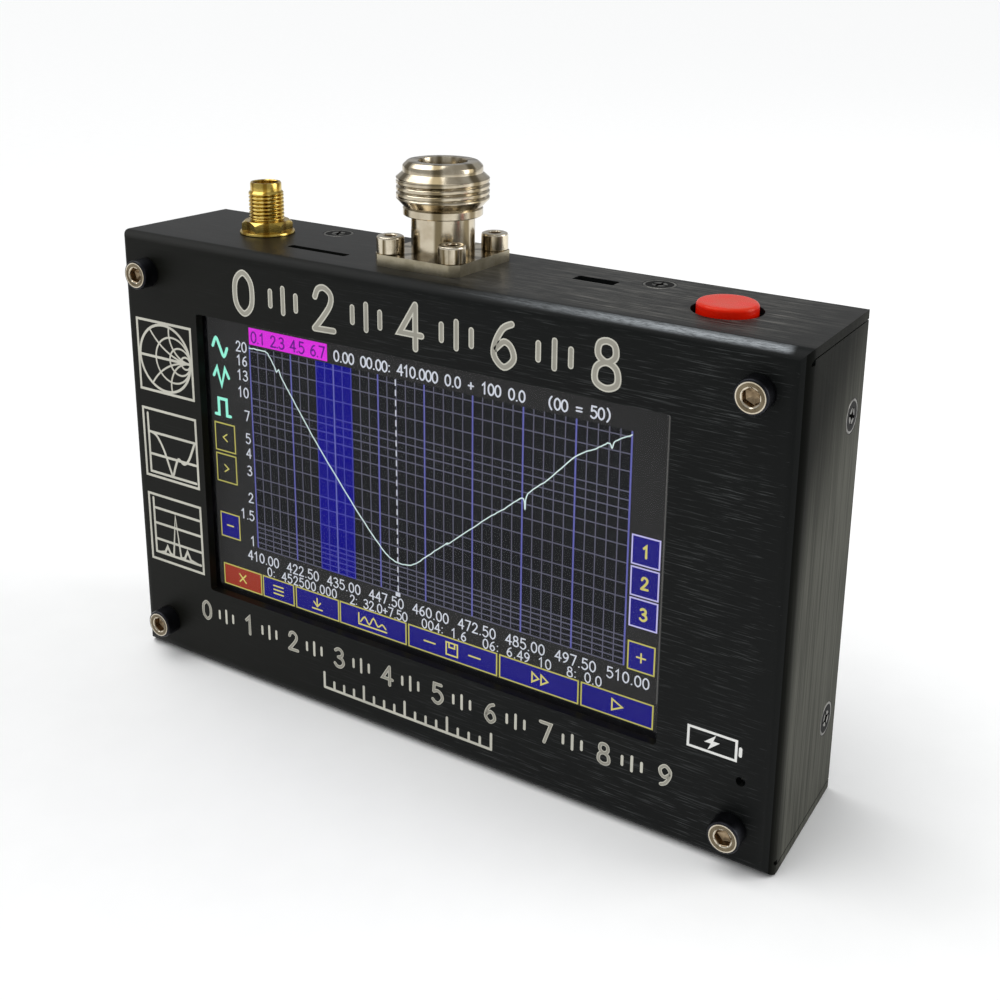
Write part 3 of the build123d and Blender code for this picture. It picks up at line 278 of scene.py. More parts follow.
def metal(name, colour, tint, rough=0.2, grain=9.0, relief=0.004, spots=0.0, reflection_stripes=None,
          reflection_colour=(0.2, 0.16, 0.09)):
    """Turned, plated or drawn metal with a slight tarnish, dark spots or upright dark stripes of painted
    reflection.
    """
    f = Finish(name, Metallic=1.0)
    x, y, z = f.place()
    cloud = f.grain((x, y, z), 0.35, 3.0, 0.6)
    lines = f.noise(x * 0.6, y * 0.6, z * grain, 2.0, 0.6)
    shade = f.mix(cloud.fade(0.35, 0.7), colour, tint)
    if reflection_stripes:
        shade = f.mix(reflection_stripes(f), shade, reflection_colour)
    if spots:
        dirt = f.grain((x, y, z), 2.1, 3.0, 0.7)
        shade = f.mix(dirt.fade(0.60, 0.72) * spots, shade, tuple(0.25 * c for c in tint))
    f.set(Base_Color=shade, Roughness=rough + cloud * 0.06 + lines * 0.05)
    return f.bump(lines, relief)


def moulded(name, colour, rough=0.45, shade=0.85, grain=4.0, relief=0.006, **constants):
    """Moulded plastic, foam, resin or mask with a fine surface."""
    f = Finish(name, **constants)
    place = f.place()
    grit = f.grain(place, grain, 3.0, 0.6)
    cloud = f.grain(place, 0.12)
    f.set(Base_Color=f.mix(cloud.fade(0.3, 0.7), colour, tuple(shade * c for c in colour)),
          Roughness=rough + grit * 0.12)
    return f.bump(grit, relief)


def red_plastic():
    """Bright red moulding, deeper round its side than on its top, whose paler colour is painted sheen.
    """
    f = moulded("red_cap", (0.72, 0.016, 0.002), 0.20, 0.93, 5.0, 0.002, Specular_IOR_Level=0.24,
                Specular_Tint=(1.0, 0.5, 0.3))
    x, y, z = f.place()
    # The top's paler, pinker colours are painted sheen; the worn mask varies them in patches.
    worn = f.grain((x, y, z), 0.3).fade(0.35, 0.65)
    top = f.mix(worn, (0.68, 0.020, 0.006), (0.62, 0.038, 0.016))
    return f.set(Base_Color=f.mix(z.fade(85.9, 86.3), (0.74, 0.010, 0.001), top))


def board_green():
    """Solder mask over a pattern of copper tracks."""
    f = Finish("board_mask", Specular_IOR_Level=0.5)
    x, y, z = f.place()
    tracks = f.node("TexBrick", {}, {
        "Vector": f.node("CombineXYZ", {}, {0: x, 1: z, 2: 0.0}), "Scale": 0.18,
        "Mortar Size": 0.03, "Color1": (1, 1, 1, 1), "Color2": (0.6, 0.6, 0.6, 1),
        "Mortar": (0, 0, 0, 1)})
    tone = f.grain((x, y, z), 0.15)
    mask = f.mix(tracks.fade(0.0, 0.9), (0.010, 0.075, 0.030), (0.018, 0.130, 0.052))
    f.set(Base_Color=f.mix(tone.fade(0.55, 0.8) * 0.4, mask, (0.03, 0.19, 0.07)),
          Roughness=0.3 + tone * 0.1)
    return f.bump(tracks, 0.02)


def glow(name, colour, mottle=0.08):
    """A patch of the lit display: dark in itself, with its own light."""
    f = Finish(name, Base_Color=(0.004, 0.004, 0.004), Roughness=0.6, Specular_IOR_Level=0.05,
               Emission_Strength=1.0)
    x, y, z = f.place()
    drift = f.noise(x * 0.05, y, z * 0.08, 1.0)
    f.set(Emission_Color=f.mix(drift.fade(0.3, 0.7), colour,
                               tuple(c * (1 - mottle) for c in colour)))
    return f


def srgb(r, g, b):
    """Scene colour of a displayed 0-255 colour."""
    return tuple((v / 12.92 if v <= 0.04045 else ((v + 0.055) / 1.055) ** 2.4)
                 for v in (r / 255, g / 255, b / 255))


FRONT_BLACK = brushed_front()
TOP_BLACK = brushed_top()
SIDE_BLACK = brushed_side()
COVER_BLACK = satin_black("cover_anodised")
SCREW_BLACK = moulded("screw_black_oxide", (0.006, 0.006, 0.0055), 0.5, 0.8, 3.0, 0.01,
                      Specular_IOR_Level=0.06)
SCREW_WORN = metal("screw_worn_rim", (0.24, 0.235, 0.215), (0.05, 0.048, 0.043), 0.36, 2.0, 0.01,
                   0.95)
# The nickel plate, the screw sides and the gold plate carry upright dark stripes of painted reflection.
NICKEL = metal("nickel_plate", (0.59, 0.525, 0.405), (0.48, 0.41, 0.30), 0.14, 6.0, 0.003,
               reflection_stripes=painted_reflection_round((N_X, N_Y), 0.0), reflection_colour=(0.17, 0.135, 0.078))
# Darker, rougher nickel for the N flange's sides: the darker colour is painted shade.
FLANGE_SIDE_PAINTED_SHADE = metal("flange_side_nickel_painted_shade", (0.46, 0.41, 0.30), (0.33, 0.29, 0.20), 0.26)
CAP_NICKEL = metal("screw_nickel", (0.68, 0.62, 0.51), (0.52, 0.45, 0.33), 0.17, 7.0, 0.004, 0.35)
# Darker copy of the screw nickel for the forward-facing panel screw faces: painted shade, with dirt
# spots.
CAP_FACE_PAINTED_SHADE = metal("screw_face_painted_shade", (0.185, 0.15, 0.098), (0.12, 0.092, 0.056), 0.22, 7.0, 0.006,
                0.5)
SIDE_NICKEL = metal("screw_side_nickel", (0.66, 0.59, 0.46), (0.45, 0.38, 0.27), 0.15, 1.0, 0.004,
                    reflection_stripes=painted_reflection_close, reflection_colour=(0.12, 0.09, 0.045))
# Near-black for the panel screws' head sides and rims: painted reflection of the black front, with
# painted shade.
SIDE_PAINTED_DARK = metal("screw_side_painted_reflection", (0.030, 0.031, 0.036), (0.015, 0.015, 0.018), 0.34, 2.0,
                  0.01)
# Darker brown inside the hex sockets.
SOCKET_BROWN = metal("screw_socket_darker_brown", (0.36, 0.27, 0.17), (0.13, 0.09, 0.05), 0.24, 3.0,
                     0.01)
GOLD = metal("gold_plate", (0.67, 0.495, 0.140), (0.55, 0.385, 0.080), 0.17, 6.0, 0.003,
             reflection_stripes=painted_reflection_round((SMA_X, SMA_Y), 0.23), reflection_colour=(0.34, 0.20, 0.028))
BRASS = metal("turned_brass", (0.72, 0.52, 0.22), (0.60, 0.42, 0.17), 0.28)
STEEL = metal("pressed_steel", (0.56, 0.56, 0.55), (0.48, 0.48, 0.47), 0.3)
TIN = metal("tinned_shield", (0.62, 0.62, 0.60), (0.52, 0.52, 0.50), 0.35)
FOIL = metal("cell_foil", (0.60, 0.61, 0.63), (0.50, 0.51, 0.53), 0.35, 1.5, 0.02)
WHITE_PLASTIC = moulded("white_insulator", (0.82, 0.80, 0.74), 0.35, 0.92)
CREAM_PLASTIC = moulded("socket_plastic", (0.62, 0.60, 0.52), 0.4, 0.9)
BLACK_PLASTIC = moulded("black_moulding", (0.014, 0.014, 0.014), 0.4, 0.8)
FOAM = moulded("black_foam", (0.010, 0.010, 0.010), 0.85, 0.8, 2.5, 0.05)
TAPE = moulded("white_foam_tape", (0.60, 0.60, 0.57), 0.8, 0.9, 2.5, 0.04)
AMBER = moulded("amber_film", (0.42, 0.17, 0.025), 0.3, 0.8, 1.0, 0.004)
WIRE = moulded("wire_insulation", (0.36, 0.012, 0.010), 0.4, 0.85)
RED = red_plastic()
RESIN = moulded("lamp_resin", (0.45, 0.47, 0.43), 0.2, 0.9, 3.0, 0.002)
GLASS = moulded("display_polariser", (0.012, 0.012, 0.014), 0.25, 0.85, 3.0, 0.001)
FILM = moulded("touch_film", (0.20, 0.20, 0.21), 0.22, 0.95, 3.0, 0.002, Alpha=0.012)
ENGRAVED = moulded("engraved_metal", (0.62, 0.605, 0.52), 0.5, 0.85, 2.2, 0.01)
ENGRAVED_CORE = moulded("engraved_groove", (0.35, 0.335, 0.28), 0.55, 0.8, 2.2, 0.01)
PAINT = moulded("white_print", (0.80, 0.80, 0.77), 0.5, 0.95)
GREEN = board_green()


# ---------------------------------------------------------------- mesh kit
def as_mesh(bm, name):
    mesh = bpy.data.meshes.new(name)
    bm.to_mesh(mesh)
    bm.free()
    return mesh


def in_scene(name, data):
    """A new object in the scene."""
    obj = bpy.data.objects.new(name, data)
    scene.collection.objects.link(obj)
    return obj


def solid(outline, start, end, place):
    """A closed prism: an outline of (u, v) points, drawn from start to end along w."""
    bm = bmesh.new()
    rings = [[bm.verts.new(place(u, v, w)) for u, v in outline] for w in (start, end)]
    count = len(outline)
    bm.faces.new(rings[0])
    bm.faces.new(list(reversed(rings[1])))
    for n in range(count):
        m = (n + 1) % count
        bm.faces.new((rings[0][n], rings[1][n], rings[1][m], rings[0][m]))
    bmesh.ops.recalc_face_normals(bm, faces=bm.faces)
    return bm


def arc(centre, radius, start, end, steps):
    return [(centre[0] + radius * cos(radians(start + (end - start) * n / steps)),
             centre[1] + radius * sin(radians(start + (end - start) * n / steps)))
            for n in range(steps + 1)]


def rounded(u0, u1, v0, v1, radius, steps=6):
    """Outline of a rectangle with round corners."""
    points = []
    for cu, cv, turn in ((u1 - radius, v1 - radius, 0), (u0 + radius, v1 - radius, 90),
                         (u0 + radius, v0 + radius, 180), (u1 - radius, v0 + radius, 270)):
        points += arc((cu, cv), radius, turn, turn + 90, steps)
    return points


def circle(u, v, radius, steps=48):
    return arc((u, v), radius, 0, 360, steps)[:-1]


def on_front(u, v, w):
    return Vector((u, w, v))


def on_top(u, v, w):
    return Vector((u, v, w))


def plate(x, y, z, radius=0.0, axis="y"):
    """A slab between three pairs of limits, its corners round about y or z."""
    pairs, ends, place = ((x, z), y, on_front) if axis == "y" else ((x, y), z, on_top)
    (u0, u1), (v0, v1) = pairs
    outline = rounded(u0, u1, v0, v1, radius) if radius else [(u0, v0), (u1, v0), (u1, v1), (u0, v1)]
    return solid(outline, *ends, place)


def ring_round(bm, centre, radii, height, turn=0.0):
    """Corners at a height round a centre, or one corner where the radius is 0."""
    x, y = centre
    if radii[0] == 0:
        return [bm.verts.new((x, y, height))]
    corners = []
    for n, radius in enumerate(radii):
        a = 2 * pi * n / len(radii) + radians(turn)
        corners.append(bm.verts.new((x + radius * cos(a), y + radius * sin(a), height)))
    return corners


def skinned(bm, rings):
    """Faces from each ring of corners to the next. A ring of one corner is a tip."""
    for low, high in zip(rings, rings[1:]):
        count = max(len(low), len(high))
        for n in range(count):
            m = (n + 1) % count
            if len(low) == 1:
                bm.faces.new((low[0], high[m], high[n]))
            elif len(high) == 1:
                bm.faces.new((low[n], low[m], high[0]))
            else:
                bm.faces.new((low[n], low[m], high[m], high[n]))
    bmesh.ops.remove_doubles(bm, verts=bm.verts, dist=0.0005)
    bmesh.ops.recalc_face_normals(bm, faces=bm.faces)
    return bm


def flat_sided(half, sides, steps):
    """Radii round a shape with flat sides, half of its width away from the middle."""
    part = pi / sides
    return [half / cos((2 * pi * n / steps % (2 * part)) - part) for n in range(steps)]


def turned(profile, steps=48, turn=0.0, centre=(0, 0)):
    """A turned form. The profile's points are (radius, height), or (half width, height, sides)
    where it has flat sides. A radius of 0 closes an end."""
    bm = bmesh.new()
    rings = []
    for radius, height, *sides in profile:
        radii = flat_sided(radius, *sides, steps) if sides else [radius] * steps
        rings.append(ring_round(bm, centre, radii, height, turn))
    return skinned(bm, rings)


def thread(centre, low, high, crest, depth, pitch, bottom, top, steps=72, per_turn=16):
    """A closed barrel with a thread cut in it from low to high, run out at both ends.
    bottom and top are the points of its profile below and above the thread."""
    rows = int((high - low) / pitch * per_turn)
    half_groove = 0.29                      # of the pitch
    run_out = 0.5 * pitch
    grid = [([radius] * steps, z) for radius, z in bottom]
    for row in range(rows + 1):
        z = low + (high - low) * row / rows
        ease = max(0.0, min(1.0, (z - low) / run_out, (high - z) / run_out))
        radii = []
        for n in range(steps):
            phase = ((z - low) / pitch - n / steps) % 1.0
            groove = max(0.0, 1 - abs(phase - 0.5) / half_groove)
            radii.append(crest - depth * groove * ease)
        grid.append((radii, z))
    grid += [([radius] * steps, z) for radius, z in top]
    bm = bmesh.new()
    return skinned(bm, [ring_round(bm, centre, radii, z) for radii, z in grid])


def moved(bm, matrix):
    bmesh.ops.transform(bm, matrix=matrix, verts=bm.verts)
    return bm


def merged(parts):
    """Several meshes as one, each face keeping the number of its part's finish."""
    whole = bmesh.new()
    for part in parts:
        bm, finish = part if isinstance(part, tuple) else (part, None)
        if finish is not None:
            for face in bm.faces:
                face.material_index = finish
        mesh = as_mesh(bm, "part")
        whole.from_mesh(mesh)
        bpy.data.meshes.remove(mesh)
    return whole


def cut_from(bodies, cuts=()):
    """The bodies united as one closed mesh, less the cuts."""
    base = in_scene("base", as_mesh(bodies[0], "base"))
    groups = []
    for operation, meshes in (("UNION", bodies[1:]), ("DIFFERENCE", cuts)):
        if not meshes:
            continue
        group = bpy.data.collections.new(operation)
        scene.collection.children.link(group)
        for bm in meshes:
            group.objects.link(bpy.data.objects.new("tool", as_mesh(bm, "tool")))
        modifier = base.modifiers.new(operation, "BOOLEAN")
        modifier.operation = operation
        modifier.solver = "EXACT"
        modifier.operand_type = "COLLECTION"
        modifier.collection = group
        groups.append(group)
    bpy.context.view_layer.update()
    result = base.evaluated_get(bpy.context.evaluated_depsgraph_get())
    mesh = bpy.data.meshes.new_from_object(result)
    bm = bmesh.new()
    bm.from_mesh(mesh)
    for group in groups:
        for tool in list(group.objects):
            bpy.data.objects.remove(tool)
        bpy.data.collections.remove(group)
    bpy.data.objects.remove(base)
    bpy.data.meshes.remove(mesh)
    bmesh.ops.remove_doubles(bm, verts=bm.verts, dist=0.002)
    bmesh.ops.dissolve_limit(bm, angle_limit=radians(0.6), verts=bm.verts, edges=bm.edges,
                             delimit={"MATERIAL"})
    return bm


def piece(name, bm, finishes, body="case", stands_for=(), bevel=0.0, sharp=35):
    """A finished piece that rides on a body, with its edges eased by bevel millimetres where
    they turn by more than sharp degrees."""
    bmesh.ops.scale(bm, vec=(MM, MM, MM), verts=bm.verts)
    mesh = as_mesh(bm, name)
    for finish in finishes:
        mesh.materials.append(finish.material)
    for face in mesh.polygons:
        face.use_smooth = True
    mesh.set_sharp_from_angle(angle=radians(sharp))
    obj = in_scene(name, mesh)
    if bevel:
        ease = obj.modifiers.new("eased_edges", "BEVEL")
        ease.width = bevel * MM
        ease.segments = 2
        ease.limit_method = "ANGLE"
        ease.angle_limit = radians(sharp)
        ease.miter_outer = "MITER_ARC"
        weigh = obj.modifiers.new("even_shading", "WEIGHTED_NORMAL")
        weigh.keep_sharp = True
    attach(obj, body)
    if stands_for:
        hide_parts(*stands_for)
    return obj


# ---------------------------------------------------------------- case
def flange(radius, sheet, depth, bend=True, leg=True):
    """Section of a bent flange: u along the flange, v inwards."""
    inner = radius - sheet
    if not bend:
        return [(radius, 0), (depth, 0), (depth, sheet), (radius, sheet)]
    outline = arc((radius, radius), radius, 180, 270, 10)
    outline += [(depth, 0), (depth, sheet)] if leg else []
    outline += arc((radius, radius), inner, 270, 180, 10)
    return outline


def folded(edge, along, inward, outline, run):
    across = along.cross(inward)
    return solid(outline, -run / 2, run / 2,
                 lambda u, v, w: edge + along * u + inward * v + across * w)


def tab_points():
    """Middle of each cover tab on the case's surface, with the direction inwards."""
    points = []
    for side in (-1, 1):
        x, z = side * TAB_X, HEIGHT / 2 + side * TAB_Z
        points += [(Vector((x, TAB_LINE, HEIGHT)), -Z), (Vector((x, TAB_LINE, 0)), Z),
                   (Vector((SIDE, TAB_LINE, z)), -X), (Vector((-SIDE, TAB_LINE, z)), X)]
    return points


def facing(point, outward, turn=0.0):
    """Matrix that stands a form made about Z on a surface point."""
    return (Matrix.Translation(point) @ outward.to_track_quat("Z", "Y").to_matrix().to_4x4()
            @ Matrix.Rotation(radians(turn), 4, "Z"))


def flange_hole_bars(low, high):
    """What comes out for the N socket's four screws between two heights."""
    return [solid(circle(x, y, FLANGE_HOLE, 24), low, high, on_top) for x, y in FLANGE_HOLES]


def corner_round(side, limits):
    """What comes off a flange's front corner to round it like the side bend."""
    x, y = side * (SIDE - BEND), FRONT + BEND
    outline = [(side * (SIDE + 1), FRONT - 1), (side * (SIDE + 1), y)]
    outline += [(side * u, v) for u, v in arc((SIDE - BEND, y), BEND, 0, -90, 10)]
    return solid(outline + [(x, FRONT - 1)], *limits, on_top)


def case_tray():
    """One sheet with a flange folded back along each edge, and its window, slots and holes."""
    depth = BACK - FRONT
    bodies = [plate((-SIDE + BEND, SIDE - BEND), (FRONT, PANEL_IN), (BEND, HEIGHT - BEND))]
    whole = flange(BEND, SHEET, depth)
    bodies.append(folded(Vector((0, FRONT, HEIGHT)), Y, -Z, whole, 2 * SIDE))
    bodies.append(folded(Vector((0, FRONT, 0)), Y, Z, whole, 2 * SIDE))
    for side in (-1, 1):
        edge, inward = Vector((side * SIDE, FRONT, HEIGHT / 2)), Vector((-side, 0, 0))
        bodies.append(folded(edge, Y, inward, flange(BEND, SHEET, depth, leg=False),
                             HEIGHT - 2 * BEND))
        bodies.append(folded(edge, Y, inward, flange(BEND, SHEET, depth, bend=False),
                             HEIGHT - 2 * (SHEET + SEAM)))
    cuts = [corner_round(side, limits) for side in (-1, 1)
            for limits in ((-1, BEND), (HEIGHT - BEND, HEIGHT + 1))]
    left, right, low, high = WINDOW
    through = (FRONT - 1, PANEL_IN + 1)
    cuts.append(plate((left, right), through, (low, high), 0.6))
    for x, z, radius in [(x, z, SCREW_HOLE) for x, z in CORNERS] + [LAMP_HOLE]:
        cuts.append(solid(circle(x, z, radius, 32), *through, on_front))
    top = (TOP_IN - 1, HEIGHT + 1)
    cuts += [plate(*slot, top, 0.35, "z") for slot in (CARD_SLOT, CHARGE_SLOT)]
    cuts += [solid(circle(x, y, radius, 64), *top, on_top) for x, y, radius in TOP_HOLES]
    cuts += flange_hole_bars(*top)
    for point, inward in tab_points():
        hole = turned([(0, -3), (SCREW_HOLE, -3), (SCREW_HOLE, -1.3), (2.9, 0), (3.9, 1), (0, 1)],
                      40)
        cuts.append(moved(hole, facing(point, -inward)))
    bm = cut_from(bodies, cuts)
    for face in bm.faces:
        middle = face.calc_center_median()
        side = abs(face.normal.x) > 0.72 and abs(middle.x) > SIDE - BEND
        flat = abs(face.normal.z) > 0.98
        face.material_index = 1 if side else 2 if flat else 0
    return piece("case_tray", bm, [FRONT_BLACK, SIDE_BLACK, TOP_BLACK],
                 stands_for=["front_shell"], bevel=0.16)


def back_plate():
    """Flat rear cover. Eight tabs fold forward from its edges, each between two narrow reliefs."""
    wide, low, high = SIDE - SHEET - SEAM, SHEET + SEAM, TOP_IN - SEAM
    tab_width, tab_bend, tab_length = 11.0, 2.0, 8.0
    relief = [(-0.3, -0.5), (0.3, -0.5), (0.3, 2.0), (-0.3, 2.0)]
    cuts, tabs = [], []
    for point, inward in tab_points():
        edge = point + inward * (SHEET + SEAM)
        edge.y = BACK
        across = inward.cross(-Y)
        for side in (-1, 1):
            spot = edge + across * side * (tab_width / 2 + 0.3)
            cuts.append(solid(relief, -3, 3, lambda u, v, w: spot + across * u + inward * v + Y * w))
        leg = folded(edge, -Y, inward, flange(tab_bend, SHEET, tab_length), tab_width)
        hole = turned([(0, -6), (SCREW_HOLE, -6), (SCREW_HOLE, 1), (0, 1)], 32)
        tabs.append(cut_from([leg], [moved(hole, facing(point, -inward))]))
    cover = cut_from([plate((-wide, wide), (BACK - SHEET, BACK), (low, high))], cuts)
    return piece("back_plate", merged([cover, *tabs]), [COVER_BLACK],
                 stands_for=["rear_cover"], bevel=0.12)


# ---------------------------------------------------------------- screws
def cross_screw():
    """Countersunk screw with a cross recess, its head flush at z = 0. Its worn rim is finish 1."""
    body = turned([(0, -5), (1.1, -5), (1.45, -4.6), (1.45, -1.35), (2.72, -0.12), (2.8, -0.05),
                   (2.72, 0.0), (2.4, -0.02), (1.3, -0.02), (0, -0.02)], 40)
    for face in body.faces:
        middle = face.calc_center_median()
        if middle.z > -0.1 and not 1.3 < hypot(middle.x, middle.y) < 2.4:
            face.material_index = 1
    cuts = []
    for turn in (0, 90):
        wing = solid([(-1.55, 0.3), (-1.45, 0.0), (-0.75, -1.1), (0.75, -1.1), (1.45, 0.0),
                      (1.55, 0.3)], -0.24, 0.24, on_front)
        cuts.append(moved(wing, Matrix.Rotation(radians(turn), 4, "Z")))
    cuts.append(turned([(0, -1.4), (0.45, -1.0), (0.72, 0.3), (0, 0.3)], 16, 45))
    return cut_from([body], cuts)


def cap_screw(radius, height, shank, length, across, depth):
    """Cap screw seated at z = 0, with a hexagonal socket so far across and so deep. The socket
    is finish 1, the head's side is 2, its rounded rim is 3 and the middle of its face is 4."""
    ease, floor, half = 0.42, height - depth, across / 2
    bm = turned([(0, -length), (shank - 0.3, -length), (shank, -length + 0.3), (shank, 0),
                 (radius - 0.1, 0), (radius, 0.1), (radius, height - ease),
                 (radius - ease * 0.3, height - ease * 0.28), (radius - ease, height),
                 (radius - ease - 0.18, height), (half * 1.26, height - 0.04),
                 (half * 1.10, height - 0.14, 6), (half, height - 0.22, 6),
                 (half, floor, 6), (half * 0.9, floor - 0.1, 6), (0, floor - 0.45)], 48, 15)
    for face in bm.faces:
        middle = face.calc_center_median()
        reach = hypot(middle.x, middle.y)
        if middle.z > 0 and reach < half * 1.12 and middle.z < height - 0.1:
            face.material_index = 1
        elif middle.z > 0 and reach > radius - ease and middle.z < height - 0.01:
            face.material_index = 2 if middle.z < height - ease else 3
        elif middle.z > height - 0.06 and half * 1.2 < reach < radius - ease - 0.18:
            face.material_index = 4
    return bm


def copies(make, matrices):
    return merged([moved(make(), matrix) for matrix in matrices])


def screws():
    """All the screws, each turned as its thread happened to stop."""
    piece("cover_screw_set", copies(cross_screw, [
        facing(point, -inward, 28 + 37 * n) for n, (point, inward) in enumerate(tab_points())]),
        [SCREW_BLACK, SCREW_WORN], stands_for=["cover_screws"], bevel=0.05)
    piece("panel_screw_set", copies(lambda: cap_screw(2.75, 3.0, 1.45, 5.0, 2.5, 1.3), [
        facing(Vector((x, FRONT, z)), -Y, 11 + 23 * n) for n, (x, z) in enumerate(CORNERS)]),
        [CAP_NICKEL, SOCKET_BROWN, SIDE_PAINTED_DARK, SIDE_PAINTED_DARK, CAP_FACE_PAINTED_SHADE],
        stands_for=["panel_screws"], bevel=0.06)
    piece("flange_screw_set", copies(lambda: cap_screw(2.35, 3.0, 1.25, 8.0, 2.0, 1.2), [
        facing(Vector((x, y, N_SEAT)), Z, turn)
        for (x, y), turn in zip(FLANGE_HOLES, (-26, -8, 8, 26))]),
        [CAP_NICKEL, SOCKET_BROWN, SIDE_NICKEL, CAP_NICKEL, CAP_NICKEL],
        stands_for=["n_flange_screws"], bevel=0.06)


# ---------------------------------------------------------------- N socket
def n_socket():
    """Square flange with chamfered corners, threaded barrel, sleeve and centre contact."""
    half, chamfer = 8.75, 1.4
    corner = half - chamfer
    outline = [(N_X + u, N_Y + v) for u, v in (
        (-half, -corner), (-corner, -half), (corner, -half), (half, -corner),
        (half, corner), (corner, half), (-corner, half), (-half, corner))]
    through = (HEIGHT - 1, N_SEAT + 1)
    cuts = flange_hole_bars(*through) + [solid(circle(N_X, N_Y, 3.45, 48), *through, on_top)]
    base = cut_from([solid(outline, HEIGHT, N_SEAT, on_top)], cuts)
    for face in base.faces:
        # The flange's upright sides take the darker nickel, which is painted shade.
        face.material_index = 1 if abs(face.normal.z) < 0.5 else 0
    collar, runout, first, last, nose, mouth = 93.4, 94.8, 96.3, 99.8, 100.8, 102.6   # heights
    seat = N_SEAT - 0.3
    bore, wide_bore, neck, rim, start = 3.42, 4.1, 5.45, 6.8, 7.86                    # radii
    crest, depth, pitch = 7.92, 0.31, 1.058                                           # of its thread
    barrel = thread(
        (N_X, N_Y), first, last, crest, depth, pitch,
        [(bore, seat), (neck, seat), (neck, collar), (6.62, collar), (rim, collar + 0.16),
         (rim, runout - 0.14), (6.68, runout), (6.62, runout + 0.05), (start, first - 0.08)],
        [(start, last + 0.06), (rim, nose), (rim, mouth - 0.85), (6.7, mouth - 0.66),
         (6.12, mouth - 0.1), (5.95, mouth), (4.3, mouth), (4.15, mouth - 0.08),
         (wide_bore, mouth - 0.25), (wide_bore, 94.2), (bore, 93.4), (bore, seat)])
    low, high = HEIGHT - 3.0, HEIGHT + 0.1
    sleeve = turned([(bore, low), (4.4, low), (4.4, high), (bore, high), (bore, low)], 48, 0,
                    (N_X, N_Y))
    piece("n_socket_barrel", merged([base, barrel, sleeve]), [NICKEL, FLANGE_SIDE_PAINTED_SHADE],
          stands_for=["n_socket_body"], sharp=32)
    pin, tail, tip, hollow, floor_z = 1.52, 1.0, mouth - 4.0, 0.83, 93.6
    contact = turned([(0, 74.5), (tail, 74.5), (tail, 79.0), (pin, 79.0), (pin, tip - 0.2),
                      (1.4, tip), (0.9, tip), (hollow, tip - 0.1), (hollow, floor_z),
                      (0, floor_z - 0.3)], 32, 0, (N_X, N_Y))
    slots = [plate((N_X - wide, N_X + wide), (N_Y - deep, N_Y + deep), (95.2, tip + 0.5))
             for wide, deep in ((2, 0.15), (0.15, 2))]
    piece("n_centre_contact", cut_from([contact], slots), [GOLD],
          stands_for=["n_socket_contact"])


# ---------------------------------------------------------------- SMA socket
def sma_socket():
    """Barrel with its flange inside the case, hexagonal nut with eased corners, and washer."""
    heel, low, high, mouth = 81.5, 87.8, 92.7, 94.65                                 # heights
    bore, mouth_bore, shank, nose = 2.07, 2.3, 2.95, 2.82                            # radii
    crest, depth, pitch = 3.165, 0.32, 0.706                                         # of its thread
    bottom = [(bore, heel), (3.8, heel), (4.0, heel + 0.2), (4.0, 83.3), (3.9, 83.5),
              (shank, 83.5), (shank, low - 0.15), (3.1, low)]
    top = [(3.05, high + 0.15), (nose, 93.1), (nose, mouth - 0.25), (2.68, mouth), (2.45, mouth),
           (mouth_bore, mouth - 0.15), (mouth_bore, high + 0.05), (bore, high + 0.05),
           (bore, heel)]
    body = thread((SMA_X, SMA_Y), low, high, crest, depth, pitch, bottom, top, 56)
    piece("sma_barrel", body, [GOLD], stands_for=["sma_body"], sharp=32)
    hole, flat, seat, face = 2.98, 4.0, 85.6, 87.5
    nut = turned([(hole, seat), (flat, seat, 6), (flat, face, 6), (3.2, face), (hole, face - 0.15),
                  (hole, seat)], 48, 45, (SMA_X, SMA_Y))
    corners = turned([(3.95, 87.55), (4.75, 86.75), (6.0, 86.75), (6.0, 88.0), (3.95, 88.0),
                      (3.95, 87.55)], 48, 0, (SMA_X, SMA_Y))
    piece("sma_hex_nut", cut_from([nut], [corners]), [GOLD],
          stands_for=["sma_nut"], bevel=0.05, sharp=30)
    washer = turned([(3.3, HEIGHT), (4.9, HEIGHT), (5.0, 85.1), (5.0, 85.4), (4.9, 85.55),
                     (4.5, seat), (3.3, seat - 0.02), (3.3, HEIGHT)], 64, 0, (SMA_X, SMA_Y))
    piece("sma_washer_ring", washer, [GOLD], stands_for=["sma_washer"])


# ---------------------------------------------------------------- button
def button():
    """Hollow cap with a rounded top edge, and a tube inside that grips the switch's plunger."""
    radius, ease, top, foot = 4.85, 0.6, 86.35, 82.6
    inner = [(0, 85.55), (1.7, 85.55), (1.7, foot), (2.3, foot), (2.3, 85.6), (4.1, 85.6), (4.1, foot)]
    outer = [(radius - 0.1, foot), (radius, foot + 0.1)]
    outer += arc((radius - ease, top - ease), ease, 0, 90, 6)
    outer += [(3.2, top - 0.02), (2.0, top - 0.05), (0, top - 0.08)]
    bm = turned(inner + outer, 72, 0, (BUTTON_X, BUTTON_Y))
    piece("red_button", bm, [RED], body="button", stands_for=["button_cap"], sharp=40)


